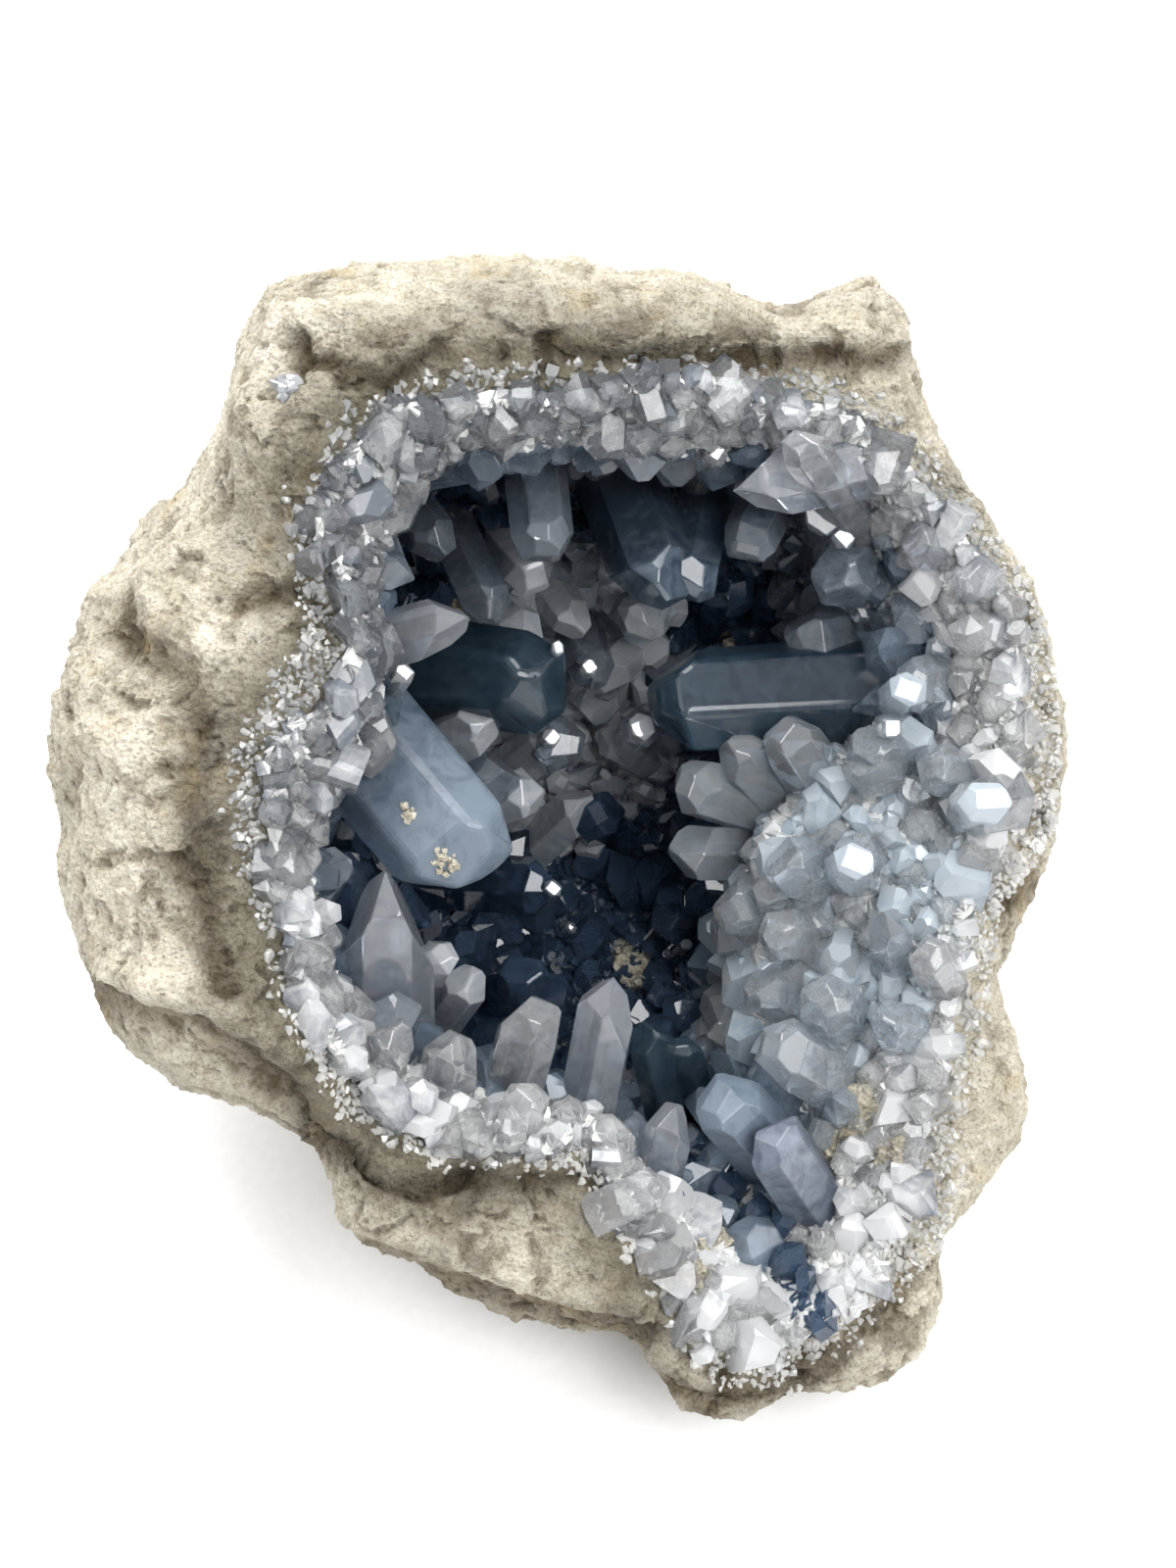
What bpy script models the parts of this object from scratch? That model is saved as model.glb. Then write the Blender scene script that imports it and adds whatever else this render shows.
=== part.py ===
"""Celestite geode: a limestone nodule broken open over a hollow lined with blue crystals.

The nodule is shaped lying on its back, with its broken mouth towards +Z, as it is seen by an eye
that looks straight into it: X runs to the right, Y runs up and Z comes out towards the eye.
Places on it are given as the points where that eye sees them in a picture of 1200 x 1600 pixels.
At the end an empty leans the whole geode forward, so that it rests on a small flat spot.
"""

import math
import random

import bmesh
import bpy
import numpy as np
from mathutils import Matrix, Vector, noise
from mathutils.bvhtree import BVHTree

MM = 0.001

# How the picture maps to real sizes
PIXEL = 0.175 * MM  # one pixel, at the depth of the nodule's widest ring
PICTURE_MIDDLE = (600, 800)
EYE_DISTANCE = 430 * MM
RING_CENTRE = (640, 880)  # the point of the picture about which every ring is drawn

# How the geode stands
LEAN = math.radians(40)
GROUND_BELOW_MIDDLE = 75.0 * MM
MIDDLE_TO_SIDE = 4.2 * MM  # these two bring the middle of its footprint over the origin
MIDDLE_TO_BACK = 3.8 * MM

# The nodule
BACK_DEPTH = -86 * MM
BACK_RADIUS = 82 * MM
BACK_CENTRE = (0 * MM, 8 * MM)
RIM_HEIGHT = 34 * MM  # the broken rim is nearer to the eye on the left than on the right
RIM_FALL_TO_RIGHT = 0.25
RIM_RISE_UPWARD = 0.05
RIM_DIP = 1.5 * MM  # how far the bare rim slopes down from its crest to the crystals
NARROWEST_CREST = 0.6 * MM
LOBE_ANGLE = math.radians(286)
LOBE_SPREAD = math.radians(24)
LOBE_FORWARD = 15 * MM
WAIST_BACK_ON_RIGHT = 4 * MM
ROUNDNESS = 0.9  # below 1 the front swells out more squarely than an ellipse
NODULE_SEGMENTS = 80
NODULE_RINGS = 27
CREST_RING = 3
WAIST_RING = 13

# The limestone's own unevenness: how far apart the swellings are, and how high
SWELLINGS = (30 * MM, 3.5 * MM)
LUMPS = (19 * MM, 3.2 * MM)
KNOBS = (9 * MM, 1.2 * MM)
CALM_DEPTH = 10 * MM  # about this depth the outline is drawn by hand, and the swellings fade
CALM_SPREAD = (8 * MM, 30 * MM)
CALM_SHARE = 0.25
SKIN_SHIFT = -0.8 * MM  # takes back the mean height of the unevenness
HOLLOW_SWELLINGS = (15 * MM, 1.8 * MM)
RELIEF_DEPTHS = (-35 * MM, 0)  # the lumps drawn by hand fade out between these on the way back

# The hollow
HOLLOW_SEGMENTS = 44
HOLLOW_RINGS = 13
FUNNEL_HEIGHT = 16 * MM
FUNNEL_FLARE = 14 * MM
THROAT_BELOW_RIM = 14 * MM
SHALLOW_THROAT = 8 * MM  # in the lobe, and over the shelf that carries the mound on the right
SHELF_LEVEL = 4 * MM
SHELF_TURN = math.radians(15)
DEEP_LEVEL = -26 * MM
FLOOR_LEVEL = -42 * MM
LOWEST_LEVEL = -48 * MM
FLOOR_SHARE = 0.62  # the floor ring against the deep ring

# The crust
GAP = 0.3 * MM
LINING = 4.0 * MM
LINING_AT_RIM = 1.4 * MM
LINING_GROWS_OVER = 11 * MM  # below the rim
OPEN_ABOVE_RIM = 3 * MM  # from this height on, the air reaches past the wall
AIR_PAST_WALL = 10 * MM
ROOT_SINK = 2.5 * MM
LONGEST_ROOT = 60 * MM
CRUST_SHARE = 0.74  # of its triangles that the crust keeps
LARGE_CRYSTAL_SEED = 5
WALL_CRYSTALS = {
    "seed": 11,
    "count": 62,
    "spacing": 10.0 * MM,
    "below_rim": (13 * MM, 200 * MM),
    "width": (7.0 * MM, 11.0 * MM),
    "height": (6.0 * MM, 10.5 * MM),
    "lift": 0.35,
}
RIM_CRYSTALS = {
    "seed": 4,
    "count": 44,
    "spacing": 8.0 * MM,
    "below_rim": (0 * MM, 13 * MM),
    "width": (6.0 * MM, 9.0 * MM),
    "height": (4.0 * MM, 7.0 * MM),
    "lift": 0.6,
}

# The nodule's widest ring, clockwise from the knob at the upper left
OUTLINE = (
    (268, 325), (300, 303), (340, 305), (385, 291), (418, 298), (475, 271), (550, 272),
    (600, 275), (635, 284), (680, 276), (735, 303), (800, 317), (850, 298), (880, 287),
    (903, 308), (935, 380), (938, 418), (970, 475), (1010, 550), (1045, 600), (1078, 665),
    (1082, 700), (1092, 760), (1080, 830), (1065, 900), (1045, 950), (1026, 1010),
    (1041, 1050), (1040, 1130), (1028, 1170), (985, 1232), (957, 1258), (962, 1290),
    (953, 1350), (925, 1400), (880, 1423), (840, 1415), (800, 1443), (740, 1451),
    (690, 1445), (660, 1400), (645, 1362), (580, 1360), (500, 1347), (460, 1310),
    (430, 1280), (355, 1250), (349, 1215), (300, 1168), (250, 1133), (210, 1128),
    (175, 1108), (135, 1075), (121, 1015), (90, 950), (66, 870), (78, 830), (66, 790),
    (78, 710), (98, 610), (140, 555), (195, 490), (243, 410),
)

# Where the crystals end and bare rock begins on the broken rim
RIM_LINE = (
    (390, 420), (430, 390), (480, 385), (540, 385), (600, 397), (650, 378), (750, 358),
    (800, 370), (850, 378), (870, 410), (890, 450), (950, 480), (990, 530), (1040, 610),
    (1060, 660), (1072, 740), (1066, 800), (1050, 870), (1010, 900), (990, 960),
    (1000, 1000), (980, 1080), (955, 1150), (955, 1200), (945, 1265), (910, 1290),
    (870, 1300), (850, 1370), (820, 1395), (780, 1405), (730, 1395), (700, 1370),
    (690, 1320), (640, 1270), (625, 1190), (600, 1160), (540, 1178), (500, 1170),
    (450, 1190), (400, 1185), (350, 1130), (340, 1080), (300, 1020), (275, 950),
    (245, 870), (250, 790), (290, 740), (340, 690), (360, 650), (360, 620), (330, 590),
    (320, 550), (300, 520), (340, 480),
)

# The bare rock beside the crystals on the rim: degrees and width in millimetres
RIM_WIDTH = (
    (0, 1.5), (45, 3), (90, 6), (130, 6), (180, 8), (215, 6), (250, 4), (286, 5), (320, 4),
)

# The rock wall under the rim: degrees anticlockwise from the right, and reach in millimetres
THROAT_REACH = (
    (0, 52), (30, 66), (60, 78), (90, 74), (120, 78), (150, 50), (180, 56), (210, 54),
    (240, 48), (262, 46), (276, 60), (286, 76), (296, 70), (312, 56), (330, 52),
)
WAIST_REACH = (
    (0, 25), (14, 29), (28, 54), (60, 78), (90, 84), (120, 88), (150, 74), (180, 72),
    (210, 66), (240, 58), (262, 52), (276, 58), (286, 66), (296, 56), (312, 38), (330, 28),
)
DEEP_REACH = (
    (0, 27), (20, 36), (45, 58), (60, 64), (90, 68), (120, 70), (150, 62), (180, 60),
    (210, 52), (240, 46), (262, 42), (286, 40), (300, 34), (330, 27),
)

# Lumps and hollows of the outside: picture point, radius and height in millimetres
RELIEF = (
    ((300, 335), 14, 2.0),
    ((385, 305), 12, 2.0),
    ((300, 362), 5, -3.0),
    ((490, 300), 18, 1.0),
    ((880, 315), 11, 2.5),
    ((800, 330), 10, -2.0),
    ((130, 860), 30, 1.5),
    ((150, 640), 20, 1.0),
    ((195, 720), 9, -3.0),
    ((215, 830), 8, -2.5),
    ((225, 950), 9, -2.5),
    ((160, 1015), 10, 4.5),
    ((230, 1040), 10, 4.5),
    ((290, 1085), 9, 3.5),
    ((160, 1068), 8, -4.0),
    ((225, 1100), 8, -4.5),
    ((290, 1140), 8, -4.0),
    ((345, 1185), 9, -3.5),
    ((400, 1225), 9, 3.0),
    ((470, 1270), 9, 3.0),
    ((560, 1300), 10, 3.5),
    ((620, 1330), 8, 3.0),
    ((520, 1335), 8, -3.0),
    ((440, 1200), 7, -2.5),
    ((650, 1350), 7, -3.0),
    ((720, 1430), 12, 1.5),
    ((900, 1350), 14, 2.5),
    ((1000, 1150), 11, 2.5),
    ((1035, 1010), 7, -2.0),
)

# Large crystals: tip and root as (x, y, depth in mm), width and thickness in mm, and habit
LARGE_CRYSTALS = (
    ((480, 905, 30), (335, 740, 18), 19, 14, "blunt"),
    ((393, 888, 34), (395, 1060, 18), 15, 12, "sharp"),
    ((625, 998, 30), (600, 1130, 12), 10, 8, "sharp"),
    ((562, 700, 10), (420, 680, -8), 19, 15, "blunt"),
    ((668, 715, 8), (880, 705, -2), 19, 14, "chisel"),
    ((688, 606, 18), (675, 480, -5), 20, 16, "chisel"),
    ((750, 500, 26), (890, 470, 18), 13, 9, "sharp"),
    ((815, 452, 34), (850, 500, 20), 9, 8, "blunt"),
    ((478, 630, 34), (370, 660, 22), 11, 8, "sharp"),
    ((555, 562, 22), (545, 470, 5), 12, 10, "blunt"),
    ((500, 622, 14), (470, 560, -6), 11, 9, "chisel"),
    ((850, 600, 14), (905, 550, -8), 14, 11, "chisel"),
    ((812, 655, 4), (900, 640, -16), 13, 11, "blunt"),
    ((930, 562, 20), (990, 540, 6), 10, 8, "chisel"),
    ((982, 595, 21), (1035, 580, 8), 9, 8, "blunt"),
    ((990, 645, 19), (1055, 640, 6), 9, 8, "sharp"),
    ((922, 702, 16), (990, 690, 0), 11, 9, "blunt"),
    ((875, 770, 16), (960, 760, 0), 12, 10, "chisel"),
    ((945, 785, 18), (1010, 790, 4), 10, 8, "blunt"),
    ((980, 828, 22), (1045, 815, 10), 12, 10, "chisel"),
    ((868, 877, 24), (890, 890, 0), 12, 9, "blunt"),
    ((795, 890, 20), (870, 880, -2), 13, 10, "chisel"),
    ((700, 800, 10), (800, 830, -10), 12, 10, "blunt"),
    ((745, 760, 12), (810, 830, -8), 11, 9, "chisel"),
    ((800, 745, 14), (850, 820, -4), 12, 10, "blunt"),
    ((690, 870, 6), (790, 870, -12), 12, 10, "chisel"),
    ((742, 935, 10), (820, 900, -8), 12, 10, "blunt"),
    ((788, 955, 18), (850, 955, -2), 11, 9, "blunt"),
    ((902, 932, 24), (920, 1010, 6), 9, 7, "sharp"),
    ((945, 972, 26), (970, 1010, 10), 9, 8, "blunt"),
    ((768, 1015, 14), (860, 1010, -4), 12, 10, "chisel"),
    ((840, 1015, 22), (870, 1060, 2), 12, 9, "blunt"),
    ((905, 1040, 24), (940, 1060, 8), 10, 8, "chisel"),
    ((788, 1066, 22), (870, 1110, 6), 13, 10, "blunt"),
    ((735, 1118, 22), (800, 1190, 4), 14, 12, "blunt"),
    ((785, 1158, 26), (840, 1240, 8), 13, 11, "blunt"),
    ((758, 1252, 16), (815, 1330, 2), 13, 11, "blunt"),
    ((690, 1128, 26), (668, 1210, 12), 9, 7, "sharp"),
    ((660, 1045, 10), (685, 1150, -6), 9, 8, "chisel"),
    ((695, 1062, 4), (715, 1150, -10), 8, 7, "blunt"),
    ((545, 1032, 32), (520, 1120, 16), 12, 10, "blunt"),
    ((465, 1060, 34), (445, 1150, 20), 11, 9, "chisel"),
    ((540, 1112, 36), (515, 1180, 24), 9, 8, "blunt"),
    ((405, 1048, 38), (375, 1120, 24), 9, 8, "chisel"),
    ((300, 868, 44), (262, 930, 32), 9, 8, "chisel"),
    ((322, 806, 38), (275, 850, 28), 8, 7, "blunt"),
    ((338, 800, 38), (275, 790, 30), 10, 8, "blunt"),
    ((520, 790, 0), (430, 800, -14), 12, 10, "chisel"),
    ((560, 905, -8), (480, 900, -24), 12, 10, "blunt"),
    ((575, 760, -14), (540, 760, -40), 12, 10, "blunt"),
    ((655, 742, -6), (650, 750, -40), 9, 8, "blunt"),
    ((605, 690, -10), (590, 640, -36), 10, 8, "chisel"),
    ((610, 830, -26), (610, 850, -48), 12, 10, "blunt"),
    ((545, 1000, 0), (500, 1010, -20), 12, 10, "chisel"),
    ((690, 940, -24), (680, 950, -48), 11, 9, "chisel"),
    ((450, 560, 14), (420, 520, 0), 10, 8, "chisel"),
    ((760, 560, 14), (790, 500, -4), 11, 9, "blunt"),
)

# For each habit: half-widths left flat at the tip, and slopes of the tip's faces in degrees
HABITS = {
    "sharp": ((0.0, 0.12), (62, 52)),
    "chisel": ((0.06, 0.45), (50, 42)),
    "blunt": ((0.42, 0.55), (42, 36)),
}

ROCK_COLOUR = (0.50, 0.46, 0.38, 1)
CRYSTAL_COLOUR = (0.42, 0.52, 0.62, 1)


def seen_at(x, y, depth):
    """The point at a depth that the eye sees at pixel x, y."""
    shrink = (EYE_DISTANCE - depth) / EYE_DISTANCE
    across = (x - PICTURE_MIDDLE[0]) * PIXEL * shrink
    up = (PICTURE_MIDDLE[1] - y) * PIXEL * shrink
    return Vector((across, up, depth))


RING_MIDDLE = seen_at(*RING_CENTRE, 0)


def rim_depth(across, up):
    return RIM_HEIGHT - RIM_FALL_TO_RIGHT * across + RIM_RISE_UPWARD * up


def ease(value, low, high):
    """0 below low, 1 above high, and a smooth step between them."""
    share = min(max((value - low) / (high - low), 0.0), 1.0)
    return share * share * (3 - 2 * share)


def blend(first, second, share):
    return first + (second - first) * share


def angle_gap(first, second):
    return abs((first - second + math.pi) % (2 * math.pi) - math.pi)


def lobe_share(angle):
    """How much of the lobe at the bottom an angle has, from 0 to 1."""
    return 1 - ease(angle_gap(angle, LOBE_ANGLE), 0.3 * LOBE_SPREAD, 1.6 * LOBE_SPREAD)


def waist_depth(angle):
    return LOBE_FORWARD * lobe_share(angle) - WAIST_BACK_ON_RIGHT * max(math.cos(angle), 0)


def polar_table(points):
    """Angles and reaches of points about the ring centre, in order of angle."""
    offsets = [point - RING_MIDDLE for point in points]
    pairs = sorted((math.atan2(off.y, off.x) % (2 * math.pi), off.xy.length) for off in offsets)
    return np.array(pairs).T


def outline_table():
    points = []
    for x, y in OUTLINE:
        flat = seen_at(x, y, 0) - RING_MIDDLE
        points.append(seen_at(x, y, waist_depth(math.atan2(flat.y, flat.x))))
    return polar_table(points)


def rim_table():
    points = []
    for x, y in RIM_LINE:
        flat = seen_at(x, y, RIM_HEIGHT)
        points.append(seen_at(x, y, rim_depth(flat.x, flat.y)))
    return polar_table(points)


def reach_table(pairs):
    degrees, reaches = np.array(pairs, float).T
    return np.radians(degrees), reaches * MM


TABLES = {
    "outline": outline_table(),
    "rim": rim_table(),
    "rim width": reach_table(RIM_WIDTH),
    "throat": reach_table(THROAT_REACH),
    "waist": reach_table(WAIST_REACH),
    "deep": reach_table(DEEP_REACH),
}


def reach(name, angle):
    angles, reaches = TABLES[name]
    return float(np.interp(angle % (2 * math.pi), angles, reaches, period=2 * math.pi))


def on_ring(angle, distance, depth, centre=(0.0, 0.0)):
    """A point at a distance from the ring middle, which centre moves sideways."""
    across = RING_MIDDLE.x + centre[0] + distance * math.cos(angle)
    up = RING_MIDDLE.y + centre[1] + distance * math.sin(angle)
    return Vector((across, up, depth))


def rim_point(angle, outward):
    """Reach and depth of the broken rim, or of a line that runs outward of it."""
    distance = reach("rim", angle) + outward
    flat = on_ring(angle, distance, 0)
    return distance, rim_depth(flat.x, flat.y)


def over_mouth(angle, distance, height):
    """A point at a height over the plane of the mouth."""
    flat = on_ring(angle, distance, 0)
    return on_ring(angle, distance, rim_depth(flat.x, flat.y) + height)


def nodule_point(angle, ring):
    """Ring 0 is the middle of the mouth, and the last ring is the middle of the back."""
    widest = reach("outline", angle)
    waist = waist_depth(angle)
    crest, crest_depth = rim_point(angle, reach("rim width", angle))
    crest = min(crest, widest - NARROWEST_CREST)
    if ring < CREST_RING:
        inner = reach("rim", angle) * ring / (CREST_RING - 1)
        return over_mouth(angle, min(inner, crest - NARROWEST_CREST), -RIM_DIP)
    if ring <= WAIST_RING:
        turn = math.pi / 2 * (ring - CREST_RING) / (WAIST_RING - CREST_RING)
        distance = blend(crest, widest, math.sin(turn) ** ROUNDNESS)
        return on_ring(angle, distance, blend(waist, crest_depth, math.cos(turn) ** ROUNDNESS))
    share = (ring - WAIST_RING) / (NODULE_RINGS - WAIST_RING)
    turn = math.pi / 2 * share
    distance = blend(widest, BACK_RADIUS, ease(share, 0, 0.36)) * math.cos(turn)
    shift = ease(share, 0, 0.5)
    centre = (
        shift * (BACK_CENTRE[0] - RING_MIDDLE.x),
        shift * (BACK_CENTRE[1] - RING_MIDDLE.y),
    )
    return on_ring(angle, distance, blend(waist, BACK_DEPTH, math.sin(turn)), centre)


def hollow_stations(angle):
    """Ring number, reach and depth of the hollow's wall along one angle."""
    rim, rim_level = rim_point(angle, 0)
    in_lobe = lobe_share(angle)
    on_shelf = ease(math.cos(angle + SHELF_TURN), 0.4, 0.9)
    throat_level = rim_level - blend(THROAT_BELOW_RIM, SHALLOW_THROAT, max(in_lobe, on_shelf))
    waist_level = SHELF_LEVEL * max(in_lobe, on_shelf)
    deep = reach("deep", angle)
    return (
        (1, rim + FUNNEL_FLARE, rim_level + FUNNEL_HEIGHT),
        (2, rim, rim_level),
        (4, reach("throat", angle), throat_level),
        (7, reach("waist", angle), waist_level),
        (10, deep, DEEP_LEVEL),
        (11.6, FLOOR_SHARE * deep, FLOOR_LEVEL),
        (HOLLOW_RINGS, 0.0, LOWEST_LEVEL),
    )


def hollow_point(angle, ring):
    if ring == 0:
        return over_mouth(angle, 0, FUNNEL_HEIGHT)
    rings, reaches, depths = zip(*hollow_stations(angle))
    return on_ring(angle, float(np.interp(ring, rings, reaches)), float(np.interp(ring, rings, depths)))


def relief_at(place):
    """The height of the outside's own lumps and hollows at a place."""
    total = 0.0
    for (x, y), radius, height in RELIEF:
        there = seen_at(x, y, place.z)
        distance = (place.xy - there.xy).length / (radius * MM)
        total += height * MM * math.exp(-distance * distance)
    return total * ease(place.z, *RELIEF_DEPTHS)


def unevenness(place, kind, shift):
    """Noise from about -1 to 1 times the height of one kind of swelling."""
    apart, height = kind
    return noise.noise(place / apart + Vector(shift)) * height


def nodule_relief(place):
    """Rounded lumps with creases between them, gentler where the outline is drawn by hand."""
    broad = unevenness(place, SWELLINGS, (0, 0, 0))
    lumps = abs(unevenness(place, LUMPS, (7, 3, 5))) * 2 - LUMPS[1] / 2
    small = unevenness(place, KNOBS, (1, 8, 2))
    from_calm = ease(abs(place.z - CALM_DEPTH), *CALM_SPREAD)
    share = blend(CALM_SHARE, 1, from_calm)
    return (broad + lumps) * share + small + relief_at(place) + SKIN_SHIFT


def hollow_relief(place):
    return unevenness(place, HOLLOW_SWELLINGS, (2, 9, 4))


def outward(shape, angle, ring, rings):
    """The direction that points out of a ringed surface, from its slopes along and across."""
    if ring <= 0 or ring >= rings:
        return Vector((0, 0, 1 if ring <= 0 else -1))
    step = 0.02
    along = shape(angle + step, ring) - shape(angle - step, ring)
    down = shape(angle, min(ring + step * 10, rings)) - shape(angle, max(ring - step * 10, 0))
    return down.cross(along).normalized()


def lifted(shape, rings, amount):
    """A shape function whose points are moved outward by amount(place)."""
    def moved(angle, ring):
        place = shape(angle, ring)
        return place + outward(shape, angle, ring, rings) * amount(place)
    return moved


def below_rim(place):
    return rim_depth(place.x, place.y) - place.z


def lining_inset(place):
    """How far the air keeps inside the rock's wall; above the rim it reaches past it."""
    if below_rim(place) < -OPEN_ABOVE_RIM:
        return AIR_PAST_WALL
    return -blend(LINING_AT_RIM, LINING, ease(below_rim(place), 0, LINING_GROWS_OVER))


nodule_wall = lifted(nodule_point, NODULE_RINGS, nodule_relief)
hollow_wall = lifted(hollow_point, HOLLOW_RINGS, hollow_relief)
crust_back = lifted(hollow_wall, HOLLOW_RINGS, lambda place: -GAP)
crust_front = lifted(hollow_wall, HOLLOW_RINGS, lining_inset)


def ringed_mesh(segments, rings, shape):
    """A sphere whose points are moved to shape(angle, ring), with ring 0 at its top pole."""
    mesh = bmesh.new()
    bmesh.ops.create_uvsphere(mesh, u_segments=segments, v_segments=rings, radius=1)
    for point in mesh.verts:
        ring = round(math.acos(max(-1.0, min(1.0, point.co.z))) / math.pi * rings)
        angle = math.atan2(point.co.y, point.co.x) if 0 < ring < rings else 0.0
        point.co = shape(angle, ring)
    bmesh.ops.triangulate(mesh, faces=mesh.faces[:], quad_method="FIXED")
    return mesh


def hollow_mesh(shape):
    return ringed_mesh(HOLLOW_SEGMENTS, HOLLOW_RINGS, shape)


def collection(name):
    made = bpy.data.collections.new(name)
    bpy.context.scene.collection.children.link(made)
    return made


def add_object(name, mesh, home):
    """A new object from a bmesh, which is then freed."""
    data = bpy.data.meshes.new(name)
    mesh.to_mesh(data)
    mesh.free()
    made = bpy.data.objects.new(name, data)
    home.objects.link(made)
    return made


def hide_cutter(cutter):
    cutter.hide_render = True
    cutter.display_type = "WIRE"


def cut(target, name, operand=None, operands=None):
    boolean = target.modifiers.new(name, "BOOLEAN")
    boolean.operation = "DIFFERENCE"
    boolean.solver = "EXACT"
    if operands:
        boolean.operand_type = "COLLECTION"
        boolean.collection = operands
    else:
        boolean.object = operand


def evaluated_bmesh(thing):
    """The object's shape with its modifiers, as a bmesh."""
    bpy.context.view_layer.update()
    mesh = bmesh.new()
    mesh.from_object(thing, bpy.context.evaluated_depsgraph_get())
    return mesh


def islands(mesh):
    """The mesh's connected groups of faces."""
    left = set(mesh.faces)
    groups = []
    while left:
        group = []
        front = [left.pop()]
        while front:
            face = front.pop()
            group.append(face)
            around = {other for edge in face.edges for other in edge.link_faces} & left
            left -= around
            front.extend(around)
        groups.append(group)
    return groups


def keep_largest_island(mesh):
    groups = sorted(islands(mesh), key=len)
    for group in groups[:-1]:
        bmesh.ops.delete(mesh, geom=group, context="FACES")
    print("islands dropped:", len(groups) - 1)


def slice_off(mesh, point, normal):
    """Cut away what lies beyond a plane and close the cut."""
    everything = mesh.verts[:] + mesh.edges[:] + mesh.faces[:]
    done = bmesh.ops.bisect_plane(
        mesh, geom=everything, plane_co=point, plane_no=normal, clear_outer=True
    )
    rim = [item for item in done["geom_cut"] if isinstance(item, bmesh.types.BMEdge)]
    if rim:
        bmesh.ops.contextual_create(mesh, geom=rim)


def crystal_mesh(width, thick, length, habit, chance, sides):
    """A prism with its tip at the origin and its root at -length, its tip cut by sloping planes."""
    mesh = bmesh.new()
    bmesh.ops.create_cone(
        mesh, cap_ends=True, segments=sides, radius1=0.5, radius2=0.5, depth=1
    )
    bmesh.ops.rotate(
        mesh, matrix=Matrix.Rotation(chance.uniform(0.2, 0.5), 3, "Z"), verts=mesh.verts
    )
    bmesh.ops.scale(mesh, vec=(width, thick, length), verts=mesh.verts)
    bmesh.ops.translate(mesh, vec=(0, 0, -length / 2), verts=mesh.verts)
    (flat_wide, flat_thick), (slope_wide, slope_thick) = HABITS[habit]
    for side in (1, -1):
        slope = math.radians(slope_wide + chance.uniform(-7, 7))
        point = Vector((side * width / 2 * flat_wide * chance.uniform(0.5, 1.3), 0, 0))
        slice_off(mesh, point, Vector((side * math.sin(slope), 0, math.cos(slope))))
    for side in (1, -1):
        slope = math.radians(slope_thick + chance.uniform(-8, 8))
        point = Vector((0, side * thick / 2 * flat_thick * chance.uniform(0.4, 1.2), 0))
        slice_off(mesh, point, Vector((0, side * math.sin(slope), math.cos(slope))))
        if sides < 6:
            break
    return mesh


def aim(tip, root, twist):
    """A matrix that puts the origin at the tip and turns +Z away from the root."""
    along = (tip - root).normalized()
    turn = along.to_track_quat("Z", "Y").to_matrix().to_4x4()
    return Matrix.Translation(tip) @ turn @ Matrix.Rotation(twist, 4, "Z")


def rooted_length(tip, root, wall):
    """How long a crystal is that stands in the wall behind its root point."""
    along = (root - tip).normalized()
    hit, _, _, distance = wall.ray_cast(tip, along)
    reach_back = distance if hit else (root - tip).length
    return min(reach_back, LONGEST_ROOT) + ROOT_SINK


def add_crystal(name, tip, root, size, habit, wall, home, chance, sides):
    width, thick = size
    length = rooted_length(tip, root, wall)
    mesh = crystal_mesh(width, thick, length, habit, chance, sides)
    mesh.transform(aim(tip, root, chance.uniform(-0.5, 0.5)))
    crystal = add_object(name, mesh, home)
    hide_cutter(crystal)
    return crystal


def depth_inside(tree, place):
    """How far a place lies inside a closed surface; negative outside it."""
    nearest, normal, _, distance = tree.find_nearest(place)
    return distance if (nearest - place).dot(normal) > 0 else -distance


def add_large_crystals(wall, bounds, home):
    chance = random.Random(LARGE_CRYSTAL_SEED)
    spots = []
    for number, (tip, root, width, thick, habit) in enumerate(LARGE_CRYSTALS):
        tip_place = seen_at(tip[0], tip[1], tip[2] * MM)
        root_place = seen_at(root[0], root[1], root[2] * MM)
        if depth_inside(bounds, tip_place) < 1 * MM:
            print("large crystal", number, "reaches out of the hollow at", tip)
        size = (width * MM, thick * MM)
        add_crystal(f"large_{number:02d}", tip_place, root_place, size, habit, wall, home, chance, 6)
        spots.append((tip_place, 0.5 * width * MM))
        spots.append(((tip_place + root_place) / 2, 0.6 * width * MM))
        spots.append((root_place, 0.6 * width * MM))
    return spots


def lining_patches():
    """The four-cornered patches of the lining, with the last corner opposite the first."""
    def row(ring):
        turns = range(HOLLOW_SEGMENTS + 1)
        return [crust_front(2 * math.pi * turn / HOLLOW_SEGMENTS, ring) for turn in turns]
    rows = [row(ring) for ring in range(2, HOLLOW_RINGS + 1)]
    patches = []
    for upper, lower in zip(rows, rows[1:]):
        for turn in range(HOLLOW_SEGMENTS):
            patches.append((upper[turn], upper[turn + 1], lower[turn], lower[turn + 1]))
    return patches


def spot_on(patch, chance):
    """A random place on a patch, and the direction into the open there."""
    first, second, third, fourth = patch
    across, down = chance.random(), chance.random()
    place = first.lerp(second, across).lerp(third.lerp(fourth, across), down)
    return place, (fourth - first).cross(third - second).normalized()


def patch_area(patch):
    first, second, third, fourth = patch
    return (fourth - first).cross(third - second).length / 2


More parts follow.
